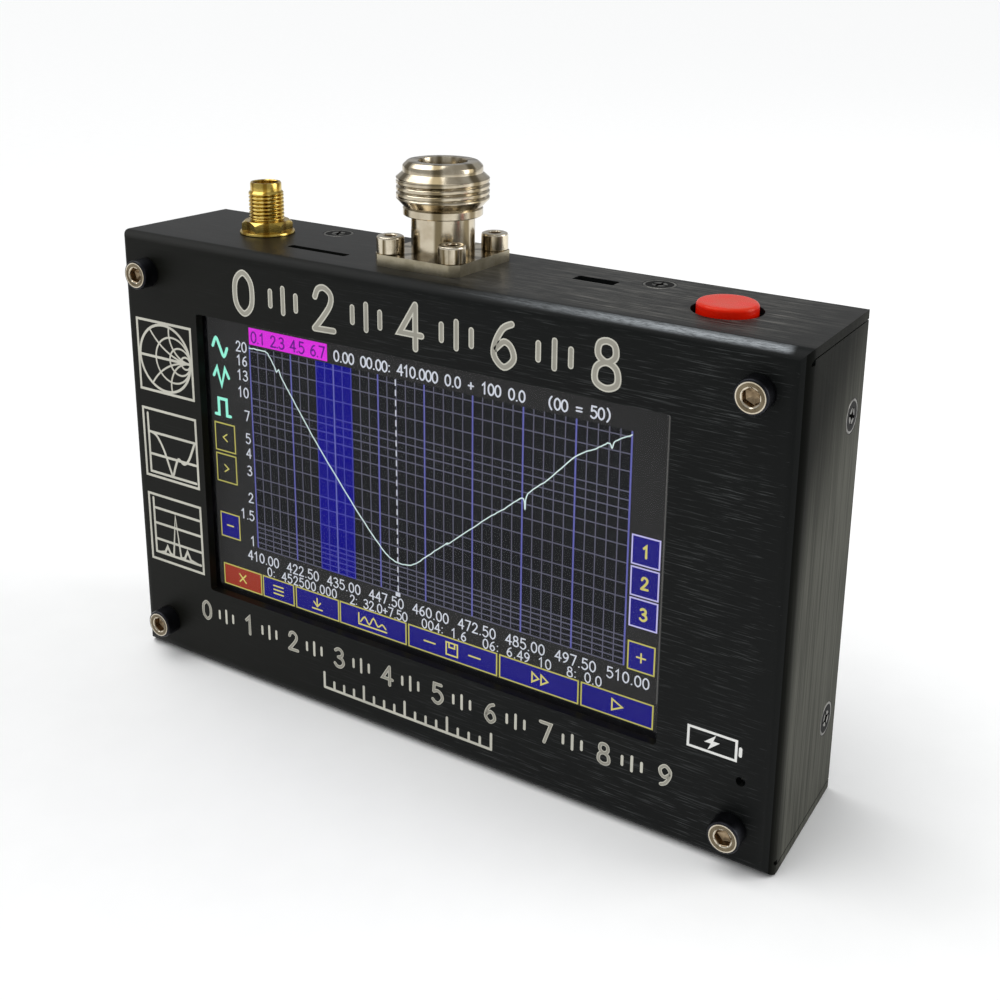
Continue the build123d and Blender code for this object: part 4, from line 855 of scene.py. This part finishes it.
# ---------------------------------------------------------------- lines and numerals
def ribbon(points, width, closed=False, steps=6):
    """Flat strip along a line, as faces in the u, v plane, with mitred bends and round ends."""
    bm = bmesh.new()
    count = len(points)
    sides = []
    for n, (u, v) in enumerate(points):
        ways = []
        if closed or n:
            before = points[(n - 1) % count]
            ways.append(Vector((u - before[0], v - before[1])).normalized())
        if closed or n < count - 1:
            after = points[(n + 1) % count]
            ways.append(Vector((after[0] - u, after[1] - v)).normalized())
        way = ways[0] + ways[-1]
        way = way.normalized() if way.length > 1e-6 else ways[0]
        lean = max(0.45, way.dot(ways[0]))
        normal = Vector((-way.y, way.x)) * (width / 2 / lean)
        sides.append((bm.verts.new((u + normal.x, v + normal.y, 0)),
                      bm.verts.new((u - normal.x, v - normal.y, 0))))
    last = count if closed else count - 1
    for n in range(last):
        a, b = sides[n], sides[(n + 1) % count]
        bm.faces.new((a[0], a[1], b[1], b[0]))
    if not closed:
        for (left, right), (u, v) in ((sides[0], points[0]), (sides[-1], points[-1])):
            start = atan2(left.co.y - v, left.co.x - u)
            sign = 1 if left is sides[0][0] else -1
            fan = [bm.verts.new((u + width / 2 * cos(start + sign * pi * k / steps),
                                 v + width / 2 * sin(start + sign * pi * k / steps), 0))
                   for k in range(1, steps)]
            bm.faces.new([left, *fan, right])
    return bm


def inlay(bm, face_y, back_y):
    """Flat faces in u, v stood up as x, z, as thick as the gap between two planes."""
    for face in bm.faces:
        if face.normal.z < 0:
            face.normal_flip()
    grown = bmesh.ops.extrude_face_region(bm, geom=bm.faces[:])
    for item in grown["geom"]:
        if isinstance(item, bmesh.types.BMVert):
            item.co.z = 1.0
    for vert in bm.verts:
        u, v, w = vert.co
        vert.co = Vector((u, face_y if w > 0.5 else back_y, v))
    bmesh.ops.recalc_face_normals(bm, faces=bm.faces)
    return bm


def smooth(points, closed=False, steps=5):
    """More points on a curve through the given ones."""
    made = []
    count = len(points)
    for n in range(count if closed else count - 1):
        pick = [points[(n + k) % count] if closed else points[min(max(n + k, 0), count - 1)]
                for k in (-1, 0, 1, 2)]
        for step in range(steps):
            t = step / steps
            made.append(tuple(
                0.5 * (2 * b + (c - a) * t + (2 * a - 5 * b + 4 * c - d) * t * t
                       + (3 * b - a - 3 * c + d) * t ** 3)
                for a, b, c, d in zip(*pick)))
    if not closed:
        made.append(points[-1])
    return made


# Strokes of each figure, with u from 0 to 0.6 of its height and v from 0 to 1.
NUMERALS = {
    "0": [([(.3, 0), (.06, .18), (0, .5), (.06, .82), (.3, 1), (.54, .82), (.6, .5),
            (.54, .18)], "loop")],
    "1": [([(.1, .76), (.34, 1), (.34, 0)], "sharp")],
    "2": [([(.04, .76), (.14, .95), (.34, 1), (.54, .86), (.52, .62), (.28, .3), (0, 0)], "curve"),
          ([(0, 0), (.62, .02)], "sharp")],
    "3": [([(.05, .88), (.26, 1), (.5, .9), (.5, .66), (.24, .53)], "curve"),
          ([(.24, .53), (.52, .45), (.6, .22), (.4, .01), (.16, .0), (0, .13)], "curve")],
    "4": [([(.46, 0), (.46, 1)], "sharp"), ([(.46, 1), (0, .32), (.64, .32)], "sharp")],
    "5": [([(.54, 1), (.1, 1), (.06, .56)], "sharp"),
          ([(.06, .56), (.3, .65), (.54, .52), (.6, .26), (.38, 0), (.16, 0), (0, .12)], "curve")],
    "6": [([(.5, .97), (.26, .84), (.06, .5), (.04, .2), (.3, 0), (.56, .2), (.5, .46), (.3, .56),
            (.07, .38)], "curve")],
    "7": [([(0, 1), (.6, 1), (.22, 0)], "sharp")],
    "8": [([(.3, 1), (.49, .92), (.51, .68), (.3, .55), (.09, .68), (.11, .92)], "loop"),
          ([(.3, .55), (.55, .42), (.57, .12), (.3, 0), (.03, .12), (.05, .42)], "loop")],
    "9": [([(.1, .03), (.34, .16), (.54, .5), (.56, .8), (.3, 1), (.04, .8), (.1, .54), (.3, .44),
            (.53, .62)], "curve")],
    ".": [([(.28, .02), (.32, .02)], "sharp")],
    ":": [([(.28, .12), (.32, .12)], "sharp"), ([(.28, .66), (.32, .66)], "sharp")],
    "+": [([(.02, .45), (.58, .45)], "sharp"), ([(.3, .17), (.3, .73)], "sharp")],
    "=": [([(.02, .3), (.58, .3)], "sharp"), ([(.02, .6), (.58, .6)], "sharp")],
    "(": [([(.46, 1.08), (.26, .8), (.2, .5), (.26, .2), (.46, -.08)], "curve")],
    ")": [([(.14, 1.08), (.34, .8), (.4, .5), (.34, .2), (.14, -.08)], "curve")],
    " ": [],
}
POINT_SHARE = 0.5           # how much of a figure's place a point takes
ROOT = FRONT + 0.02         # how deep the marks on the front are rooted
INK = FRONT - 0.012         # how far the printed ones stand out


def engrave(name, lines):
    """Wide pale cuts with a darker groove down their middle. Each line is a list of
    (points, width, closed). Each lies a hair further out than the last, so crossings
    stay clean."""
    hair, wide, core_share = 0.0004, 0.55, 0.58
    parts = []
    for n, (points, width, closed) in enumerate(lines):
        edge = FRONT - 0.010 - hair * n
        parts.append((inlay(ribbon(points, width, closed), edge, ROOT), 0))
        if width > wide:
            core = FRONT - 0.014 - hair * (len(lines) + n)
            parts.append((inlay(ribbon(points, width * core_share, closed), core, ROOT), 1))
    return piece(name, merged(parts), [ENGRAVED, ENGRAVED_CORE])


def numeral_lines(text, x, z, height, width, pitch, steps=5):
    """Strokes of a row of figures, as lines of (points, width, closed), starting at x, z."""
    lines = []
    for character in text:
        narrow = POINT_SHARE if character in ".:" else 1
        left = x - (1 - narrow) * pitch / 2
        for points, kind in NUMERALS[character]:
            placed = [(left + u * height * 0.92, z + v * height) for u, v in points]
            if kind != "sharp":
                placed = smooth(placed, kind == "loop", steps)
            lines.append((placed, width, kind == "loop"))
        x += narrow * pitch
    return lines


def scale_row(figures, left, step, foot, height, bold, marks, mark_bold):
    """Figures in a row, with upright marks between each two. A mark is (how far right of the
    figure's left side, length)."""
    lines = []
    middle = foot + height / 2
    for n, figure in enumerate(figures):
        lines += numeral_lines(figure, left + step * n, foot, height, bold, 0)
        for right, length in marks if n < len(figures) - 1 else ():
            x = left + step * n + right
            lines.append(([(x, middle - length / 2), (x, middle + length / 2)], mark_bold, False))
    return lines


def front_scale():
    """Large numerals over the display."""
    left, step, foot, height = -38.6, 18.2, 73.9, 7.4
    marks = ((8.3, 2.6), (11.2, 4.4), (14.1, 2.6))
    engrave("front_scale_marks",
            scale_row("02468", left, step, foot, height, 1.15, marks, 1.0))


def lower_scale():
    """Small numerals under the display, over a plain rule."""
    left, step, foot, height = -51.0, 11.0, 10.1, 3.6
    marks = ((4.35, 1.5), (6.1, 2.6), (7.85, 1.5))
    lines = scale_row("0123456789", left, step, foot, height, 0.62, marks, 0.5)
    left, step, count, foot = -20.6, 2.3, 17, 4.8
    for n in range(count):
        x = left + step * n
        tall = 3.0 if n % 4 == 0 else 1.6
        lines.append(([(x, foot), (x, foot + tall)], 0.5, False))
    lines.append(([(left, foot), (left + step * (count - 1), foot)], 0.5, False))
    engrave("lower_scale_marks", lines)


def circle_part(u, v, radius, inside):
    """The points of a circle that lie in another one or on its line."""
    middle_u, middle_v, limit = inside
    return [p for p in circle(u, v, radius, 72)
            if hypot(p[0] - middle_u, p[1] - middle_v) <= limit + TOLERANCE]


ICON_LEFT, ICON_SIZE = -64.1, 13.8
THICK, THIN = 0.5, 0.36


def icon_frame(low):
    right, high = ICON_LEFT + ICON_SIZE, low + ICON_SIZE
    return ([(ICON_LEFT, low), (right, low), (right, high), (ICON_LEFT, high)], THICK, True)


def round_chart(low):
    """Circle with smaller circles and arcs that all meet at its right end."""
    cx, cz, big = ICON_LEFT + ICON_SIZE / 2, low + ICON_SIZE / 2, 6.5
    lines = [icon_frame(low), (circle(cx, cz, big, 72), THICK, True),
             ([(cx - big, cz), (cx + big, cz)], THICK, False)]
    for share in (0.68, 0.40, 0.18):
        lines.append((circle(cx + big * (1 - share), cz, big * share, 72), THIN, True))
    for reach in (1.9, 0.8):
        for side in (-1, 1):
            run = circle_part(cx + big, cz + side * big * reach, big * reach, (cx, cz, big))
            lines.append((run, THIN, False))
    return lines


def line_chart(low, foot, top, rules, curve):
    """Two axes, level rules and a curve, each place measured from the sign's lower left corner."""
    axis, right = 1.2, ICON_SIZE
    strokes = [[(axis, top), (axis, foot), (right - 0.6, foot)]]
    strokes += [[(axis, up), (right, up)] for up in rules]
    strokes.append(curve)
    return [icon_frame(low)] + [([(ICON_LEFT + u, low + v) for u, v in stroke], THICK, False)
                                for stroke in strokes]


def chart_icons():
    """Three square chart signs left of the display, from the top down."""
    round_low, dip_low, peaks_low = 54.9, 37.2, 19.5
    dip = smooth([(1.2, 9.2), (3.2, 8.6), (5.0, 6.0), (6.4, 2.4), (7.1, 1.2), (7.9, 3.2), (8.8, 4.9),
                  (10.2, 4.2), (11.6, 5.4), (13.3, 9.0)])
    peaks = [(2.2, 1.6), (3.6, 2.0), (4.3, 3.3), (5.0, 2.0), (5.9, 1.7), (6.9, 10.4), (7.9, 1.7),
             (8.9, 2.0), (9.7, 3.6), (10.5, 2.0), (12.4, 1.6)]
    engrave("chart_signs",
            round_chart(round_low) + line_chart(dip_low, 0.9, 12.8, (4.6, 9.1), dip)
            + line_chart(peaks_low, 1.6, 13.0, (4.4, 7.8, 11.0), peaks))


def charge_sign():
    """Printed battery sign with a flash, over the lamp hole."""
    parts = []
    for points, width, closed in (
            ([(52.6, 18.9), (60.6, 18.9), (60.6, 22.3), (52.6, 22.3)], 0.42, True),
            ([(61.3, 20.0), (61.3, 21.2)], 0.55, False)):
        parts.append(inlay(ribbon(points, width, closed), INK, ROOT))
    bolt = [(57.2, 22.0), (55.3, 20.4), (56.4, 20.4), (55.9, 19.2), (57.9, 20.9), (56.8, 20.9)]
    parts.append(solid(bolt, INK, ROOT, on_front))
    piece("charge_sign", merged(parts), [PAINT])


# ---------------------------------------------------------------- display
DOT = 0.198                               # size of one display dot
DOTS_W, DOTS_H = 480, 272
SCREEN_LEFT, SCREEN_TOP = -48.7, 70.9
SCREEN_Y = -10.81                         # the glass's front
LAYER = 0.010                             # how far out each layer of patches lies
GROUND, CHART, SHADE, KEYS, RULE, COLUMN, MARK, SIGN, CURVE = 0.5, 1, 1.5, 2, 2.2, 2.4, 4, 5, 6
GRID = (52, 446, 20, 221)                 # left, right, top, bottom, in dots
BAND_LEFT, BAND_RIGHT = 130.5, 171
COLUMNS, PARTS = 8, 5                     # of the chart, and of each column

BACKLIGHT = glow("screen_grey", srgb(42, 42, 42), 0.10)
CHART_GREY = glow("screen_chart_grey", srgb(23, 24, 26), 0.10)
MINOR_LINE = glow("screen_minor_line", srgb(94, 94, 112))
MAJOR_LINE = glow("screen_major_line", srgb(98, 100, 172))
BAND = glow("screen_band", srgb(7, 4, 130))
BAND_LINE = glow("screen_band_line", srgb(70, 70, 162))
MAGENTA = glow("screen_magenta", srgb(222, 48, 224))
KEY_BLUE = glow("screen_key_blue", srgb(30, 27, 123))
KEY_RED = glow("screen_key_red", srgb(150, 56, 42))
MAGENTA_INK = glow("screen_magenta_ink", srgb(104, 24, 140))
YELLOW = glow("screen_yellow", srgb(208, 200, 110))
LAVENDER = glow("screen_lavender", srgb(190, 186, 232))
WHITE = glow("screen_white", srgb(206, 210, 220))
MINT = glow("screen_mint", srgb(150, 240, 216))
TRACE = glow("screen_trace", srgb(212, 232, 230))
KEY_EDGE = glow("screen_key_edge", srgb(186, 180, 94))
GLASS_EDGE = glow("screen_glass_edge", srgb(84, 84, 82))
SCREEN_FINISHES = [BACKLIGHT, CHART_GREY, GLASS_EDGE, KEY_EDGE, MINOR_LINE, MAJOR_LINE, BAND,
                   BAND_LINE, MAGENTA, KEY_BLUE, KEY_RED, MAGENTA_INK, YELLOW, LAVENDER, WHITE,
                   MINT, TRACE]
RULES = (25, 39, 53.5, 70.5, 77.5, 85.5, 93.5, 103.8, 116, 131, 149, 161, 176.5, 195, 199.8,
         204.8, 210, 215.5, 221)          # dots down to the chart's level lines
SCALE = ((20, 22.7), (16, 36), (13, 50.2), (10, 66.8), (7, 89.3), (5, 111.8), (4, 126.5),
         (3, 144), (2, 171.6), (1.5, 190), (1, 216.2))     # each figure, and dots down to it


class Picture:
    """Thin coloured patches on the display, placed by display dots, left and down."""

    def __init__(self):
        self.parts = []

    def spot(self, u, v):
        return SCREEN_LEFT + u * DOT, SCREEN_TOP - v * DOT

    def add(self, bm, finish):
        self.parts.append((bm, SCREEN_FINISHES.index(finish)))

    def planes(self, level):
        return SCREEN_Y - LAYER * level, SCREEN_Y

    def patch(self, left, top, right, bottom, finish, level):
        x0, z1 = self.spot(left, top)
        x1, z0 = self.spot(right, bottom)
        front, back = self.planes(level)
        self.add(plate((x0, x1), (front, back), (z0, z1)), finish)

    def line(self, points, width, finish, level, closed=False):
        placed = [self.spot(u, v) for u, v in points]
        self.add(inlay(ribbon(placed, width * DOT, closed, 3), *self.planes(level)), finish)

    def figures(self, words, u, v, height, finish, pitch, bold=1.15, align="left"):
        """Figures of single strokes, their middle at dot v."""
        narrow = words.count(".") + words.count(":")
        width = (len(words) - 1 - (1 - POINT_SHARE) * narrow) * pitch + 0.55 * height
        u -= {"left": 0, "centre": width / 2, "right": width}[align]
        x, z = self.spot(u, v)
        for points, wide, closed in numeral_lines(words, x, z - height * DOT / 2, height * DOT,
                                                  bold * DOT, pitch * DOT, 2):
            self.add(inlay(ribbon(points, wide, closed, 3), *self.planes(SIGN)), finish)

    def sign(self, u, v, points, closed=False, width=1.4):
        """A yellow stroke, its points counted from the dot u, v."""
        self.line([(u + a, v + b) for a, b in points], width, YELLOW, SIGN, closed)

    def key(self, left, top, right, bottom, fill, edge):
        rim = 1.3
        self.patch(left, top, right, bottom, edge, KEYS)
        self.patch(left + rim, top + rim, right - rim, bottom - rim, fill, KEYS + 1)


def chart_ground(p):
    """Grey ground, chart with its band, upright and level lines, and the scale's figures."""
    left, right, top, bottom = GRID
    p.patch(0, 0, DOTS_W, DOTS_H, BACKLIGHT, GROUND)
    p.patch(476.3, 0, 477.5, 246, GLASS_EDGE, CHART)
    p.patch(left, top, right, bottom, CHART_GREY, CHART)
    p.patch(BAND_LEFT, top, BAND_RIGHT, bottom, BAND, SHADE)
    column = (right - left) / COLUMNS
    for n in range(COLUMNS + 1):
        u = left + n * column
        p.patch(u - 0.75, top, u + 0.75, bottom, MAJOR_LINE, COLUMN)
        for k in range(1, PARTS if n < COLUMNS else 1):
            w = u + k * column / PARTS
            finish = BAND_LINE if BAND_LEFT < w < BAND_RIGHT else MINOR_LINE
            p.patch(w - 0.5, top, w + 0.5, bottom, finish, KEYS)
    for v in RULES:
        for start, end, finish in ((left, BAND_LEFT, MINOR_LINE), (BAND_LEFT, BAND_RIGHT, BAND_LINE),
                                   (BAND_RIGHT, right, MINOR_LINE)):
            p.patch(start, v - 0.55, end, v + 0.55, finish, RULE)
    for value, v in SCALE:
        p.figures(f"{value:g}", 48, v, 9.4, WHITE, 7.2, align="right")


def chart_figures(p):
    """Title over the chart, dashed cursor, and the rows of figures under the chart."""
    top, bottom = GRID[2:]
    p.patch(52, 2.5, 144, 18.5, MAGENTA, KEYS)
    p.figures("0.1 2.3 4.5 6.7", 98, 11, 10.2, MAGENTA_INK, 6.7, 1.5, "centre")
    p.figures("0.00 00.00: 410.000 0.0 + 100 0.0   (00 = 50)", 152, 11.5, 9.4, WHITE, 6.6, 1.4)
    dashes, step, length = 22, 9.2, 5.6                                # of the cursor
    for n in range(dashes):
        v = top + 1 + n * step
        p.patch(218.2, v, 219.4, min(v + length, bottom), WHITE, MARK)
    for n in range(COLUMNS + 1):
        p.figures(f"{410 + 12.5 * n:.2f}", 57.9 + 49.05 * n, 231.5, 9.4, WHITE, 7.3, align="centre")
    for words, u, pitch in (("0: 452500.000", 63, 7.2), ("2: 32.0+7.50", 163.5, 6.3),
                            ("004: 1.6", 245, 7.0), ("06: 6.49 10", 310, 7.0),
                            ("8: 0.0", 394, 6.8)):
        p.figures(words, u, 243.2, 8.8, WHITE, pitch, 1.05)


def chart_curve(p):
    """Curve that falls to its lowest at the cursor and rises again, a little uneven, with the
    cursor's foot under it."""
    trace = [(52, 22.2), (71, 22.2), (76, 26), (82, 35), (84, 39), (87, 37), (90, 44),
             (102.8, 62.2), (128, 97), (154.4, 129.8), (178, 158), (201.3, 182.6), (212, 190),
             (222.4, 192), (236, 189), (252, 176), (271.6, 159.6), (275, 158), (313.8, 125.2),
             (330, 113), (347.6, 99.0), (350.4, 108), (353, 94), (372, 77), (396.8, 51.6),
             (415, 41), (426, 34), (429, 37.5), (432, 31), (446, 23.1)]
    uneven = [(u, v + 0.35 * sin(2.3 * n) * sin(0.7 * n))
              for n, (u, v) in enumerate(smooth(trace, steps=6))]
    p.line(uneven, 1.0, TRACE, CURVE)
    p.patch(216, 221, 221, 225, WHITE, SIGN)


def side_keys(p):
    """Wave forms and small keys at the left, numbered keys at the right."""
    for form in (smooth([(6, 27.5), (10.5, 19), (15, 27.5), (19.5, 36), (24, 27.5)]),
                 [(5.5, 56.5), (10, 48), (15, 65), (20, 48), (24.5, 56.5)],
                 [(5.5, 94.5), (10, 94.5), (10, 78.5), (20, 78.5), (20, 94.5), (24.5, 94.5)]):
        p.line(form, 3.0, MINT, SIGN)
    for top, bottom, way in ((102.5, 131.4, -1), (133.7, 163, 1)):
        p.key(3, top, 29, bottom, BACKLIGHT, KEY_EDGE)
        p.sign(16, (top + bottom) / 2, [(-2.5 * way, -3.6), (2.5 * way, 0), (-2.5 * way, 3.6)],
               width=1.2)
    for left, top, sign in ((4.5, 194.4, "-"), (449, 197, "+")):
        p.key(left, top, left + 25, top + 26, KEY_BLUE, KEY_EDGE)
        p.sign(left + 12.5, top + 13, [(-4, 0), (4, 0)])
        if sign == "+":
            p.sign(left + 12.5, top + 13, [(0, -4), (0, 4)])
    for n in range(3):
        top = 104.3 + 27.1 * n
        p.key(449, top, 474.6, top + 25.7, KEY_BLUE, LAVENDER)
        p.figures(str(n + 1), 461.8, top + 13, 10, YELLOW, 7, 2.0, "centre")


HUMPS = smooth([(-14, 3), (-9, -3), (-4, 3.4), (1, -4.5), (6, 2.4), (11, -1), (15, 2.5)], steps=3)
# Each key of the lower row: its left and right dots, its open strokes and its closed ones.
LOWER_KEYS = (
    (5.4, 54.6, [[(-4, -4), (4, 4)], [(-4, 4), (4, -4)]], []),
    (56, 95.4, [[(-6, v), (6, v)] for v in (-4, 0, 4)], []),
    (97.3, 149.8, [[(0, -5.5), (0, 2.5)], [(-4, -1.5), (0, 2.8), (4, -1.5)], [(-6, 5.5), (6, 5.5)]], []),
    (150.7, 227.5, [[(-16, -5.5), (-16, 5.5), (16, 5.5)], HUMPS], []),
    (229.4, 324.6, [[(-3, -6), (-3, -1.5), (3, -1.5), (3, -6)], [(-30, 0), (-18, 0)],
                    [(18, 0), (30, 0)]], [[(-6, -6), (6, -6), (6, 6), (-6, 6)]]),
    (326.5, 405.3, [], [[(u, -4.5), (u + 6.5, 0), (u, 4.5)] for u in (-6, 3)]),
    (407.1, 474.6, [], [[(-4, -5), (5.5, 0), (-4, 5)]]))


def lower_keys(p):
    """The display's lower row of keys, the first one red, each with a plain sign."""
    top, bottom, middle = 248.5, 271, 259.8
    for n, (left, right, open_strokes, closed_strokes) in enumerate(LOWER_KEYS):
        p.key(left, top, right, bottom, KEY_BLUE if n else KEY_RED, KEY_EDGE)
        for strokes, closed in ((open_strokes, False), (closed_strokes, True)):
            for points in strokes:
                p.sign((left + right) / 2, middle, points, closed)


def display_picture():
    p = Picture()
    for part in (chart_ground, chart_figures, chart_curve, side_keys, lower_keys):
        part(p)
    piece("display_picture", merged(p.parts), SCREEN_FINISHES)


def touch_film():
    across, thick, upright, corner = (-53.05, 51.65), (-11.7, -10.92), (11.1, 77.5), 0.8
    piece("touch_sheet", plate(across, thick, upright, corner), [FILM],
          stands_for=["touch_panel"], bevel=0.08)


# ---------------------------------------------------------------- inner nodes
NODE_FINISHES = {
    "window_gasket": FOAM, "lcd_glass": GLASS, "lcd_frame": STEEL, "lcd_tape": FOAM,
    "lcd_ribbon": AMBER, "ribbon_socket": CREAM_PLASTIC, "main_board": GREEN,
    "front_standoffs": BRASS, "rear_standoffs": BRASS, "processor_chip": BLACK_PLASTIC,
    "memory_chip": BLACK_PLASTIC, "clock_crystal": TIN, "card_socket": STEEL,
    "charge_led": RESIN, "board_link": BLACK_PLASTIC, "rf_board": GREEN,
    "board_screws": CAP_NICKEL, "shield_fence": TIN, "shield_lid": TIN,
    "synthesizer_chip": BLACK_PLASTIC, "charger_chip": BLACK_PLASTIC,
    "power_inductor": BLACK_PLASTIC, "usb_socket": STEEL, "n_socket_insulator": WHITE_PLASTIC,
    "n_flange_nuts": CAP_NICKEL, "sma_insulator": WHITE_PLASTIC, "sma_contact": GOLD,
    "switch_housing": BLACK_PLASTIC, "switch_plunger": CREAM_PLASTIC,
    "switch_spring": STEEL, "battery_cell": FOIL, "battery_tape": TAPE, "battery_guard_board": GREEN,
    "battery_socket": CREAM_PLASTIC, "battery_plug": CREAM_PLASTIC, "battery_wires": WIRE,
}


def inner_pieces():
    """The solids that no piece stands for are shown as they are, each with its finish."""
    for name, finish in NODE_FINISHES.items():
        mesh = frame["nodes"][name].data
        mesh.materials.clear()
        mesh.materials.append(finish.material)


# ---------------------------------------------------------------- studio
def floor():
    bm = bmesh.new()
    bmesh.ops.create_grid(bm, x_segments=8, y_segments=8, size=60000)
    bmesh.ops.scale(bm, vec=(MM, MM, MM), verts=bm.verts)
    mesh = as_mesh(bm, "floor")
    pale = moulded("pale_floor", (0.955, 0.955, 0.95), 0.75, 0.99, 0.05, 0.0)
    mesh.materials.append(pale.material)
    obj = in_scene("floor", mesh)
    obj.location.z = -0.2 * MM


def lamp(name, kind, energy, towards, place=(0, 0, 0)):
    """A light of that kind that shines along a direction."""
    light = bpy.data.lights.new(name, kind)
    light.energy = energy
    obj = in_scene(name, light)
    obj.location = place
    obj.rotation_euler = towards.to_track_quat("-Z", "Y").to_euler()
    return light


def studio():
    """Pale room, one wide light overhead and a soft box at the right."""
    world = bpy.data.worlds.new("soft_room")
    scene.world = world
    world.use_nodes = True
    room = world.node_tree.nodes["Background"]
    room.inputs["Color"].default_value = (0.97, 0.985, 1.0, 1)
    room.inputs["Strength"].default_value = 0.46
    overhead = lamp("soft_overhead", "SUN", 2.1, Vector((0.42, 0.22, -0.9)))
    overhead.angle = radians(60)
    place, target = Vector((0.75, 0.35, 0.35)), Vector((0.06, 0, 0.05))
    box = lamp("side_box", "AREA", 3.0, target - place, place)
    box.shape = "RECTANGLE"
    box.size = box.size_y = 0.5
    scene.view_settings.view_transform = "Standard"
    scene.view_settings.look = "None"


def camera():
    """Seen from the right and a little above, as such an instrument is usually pictured."""
    azimuth, elevation, roll = radians(28.46), radians(14.86), radians(1.733)
    target, stand_off = Vector((27.47, 0, 83.28)) * MM, 197.9 * MM
    back = Vector((sin(azimuth) * cos(elevation), -cos(azimuth) * cos(elevation), sin(elevation)))
    right = (-back).cross(Z).normalized()
    up = right.cross(-back)
    tilted_right = cos(roll) * right + sin(roll) * up
    tilted_up = cos(roll) * up - sin(roll) * right
    data = bpy.data.cameras.new("camera")
    data.sensor_width = 36
    data.lens = 44.50
    data.shift_x, data.shift_y = -0.10, -0.20
    data.clip_start, data.clip_end = 0.01, 200
    obj = in_scene("camera", data)
    rotation = Matrix((tilted_right, tilted_up, back)).transposed().to_4x4()
    obj.matrix_world = Matrix.Translation(target + back * stand_off) @ rotation
    scene.camera = obj


for build in (camera, studio, floor, case_tray, back_plate, screws, n_socket, sma_socket, button,
              touch_film, display_picture, front_scale, lower_scale, chart_icons, charge_sign,
              inner_pieces):
    build()
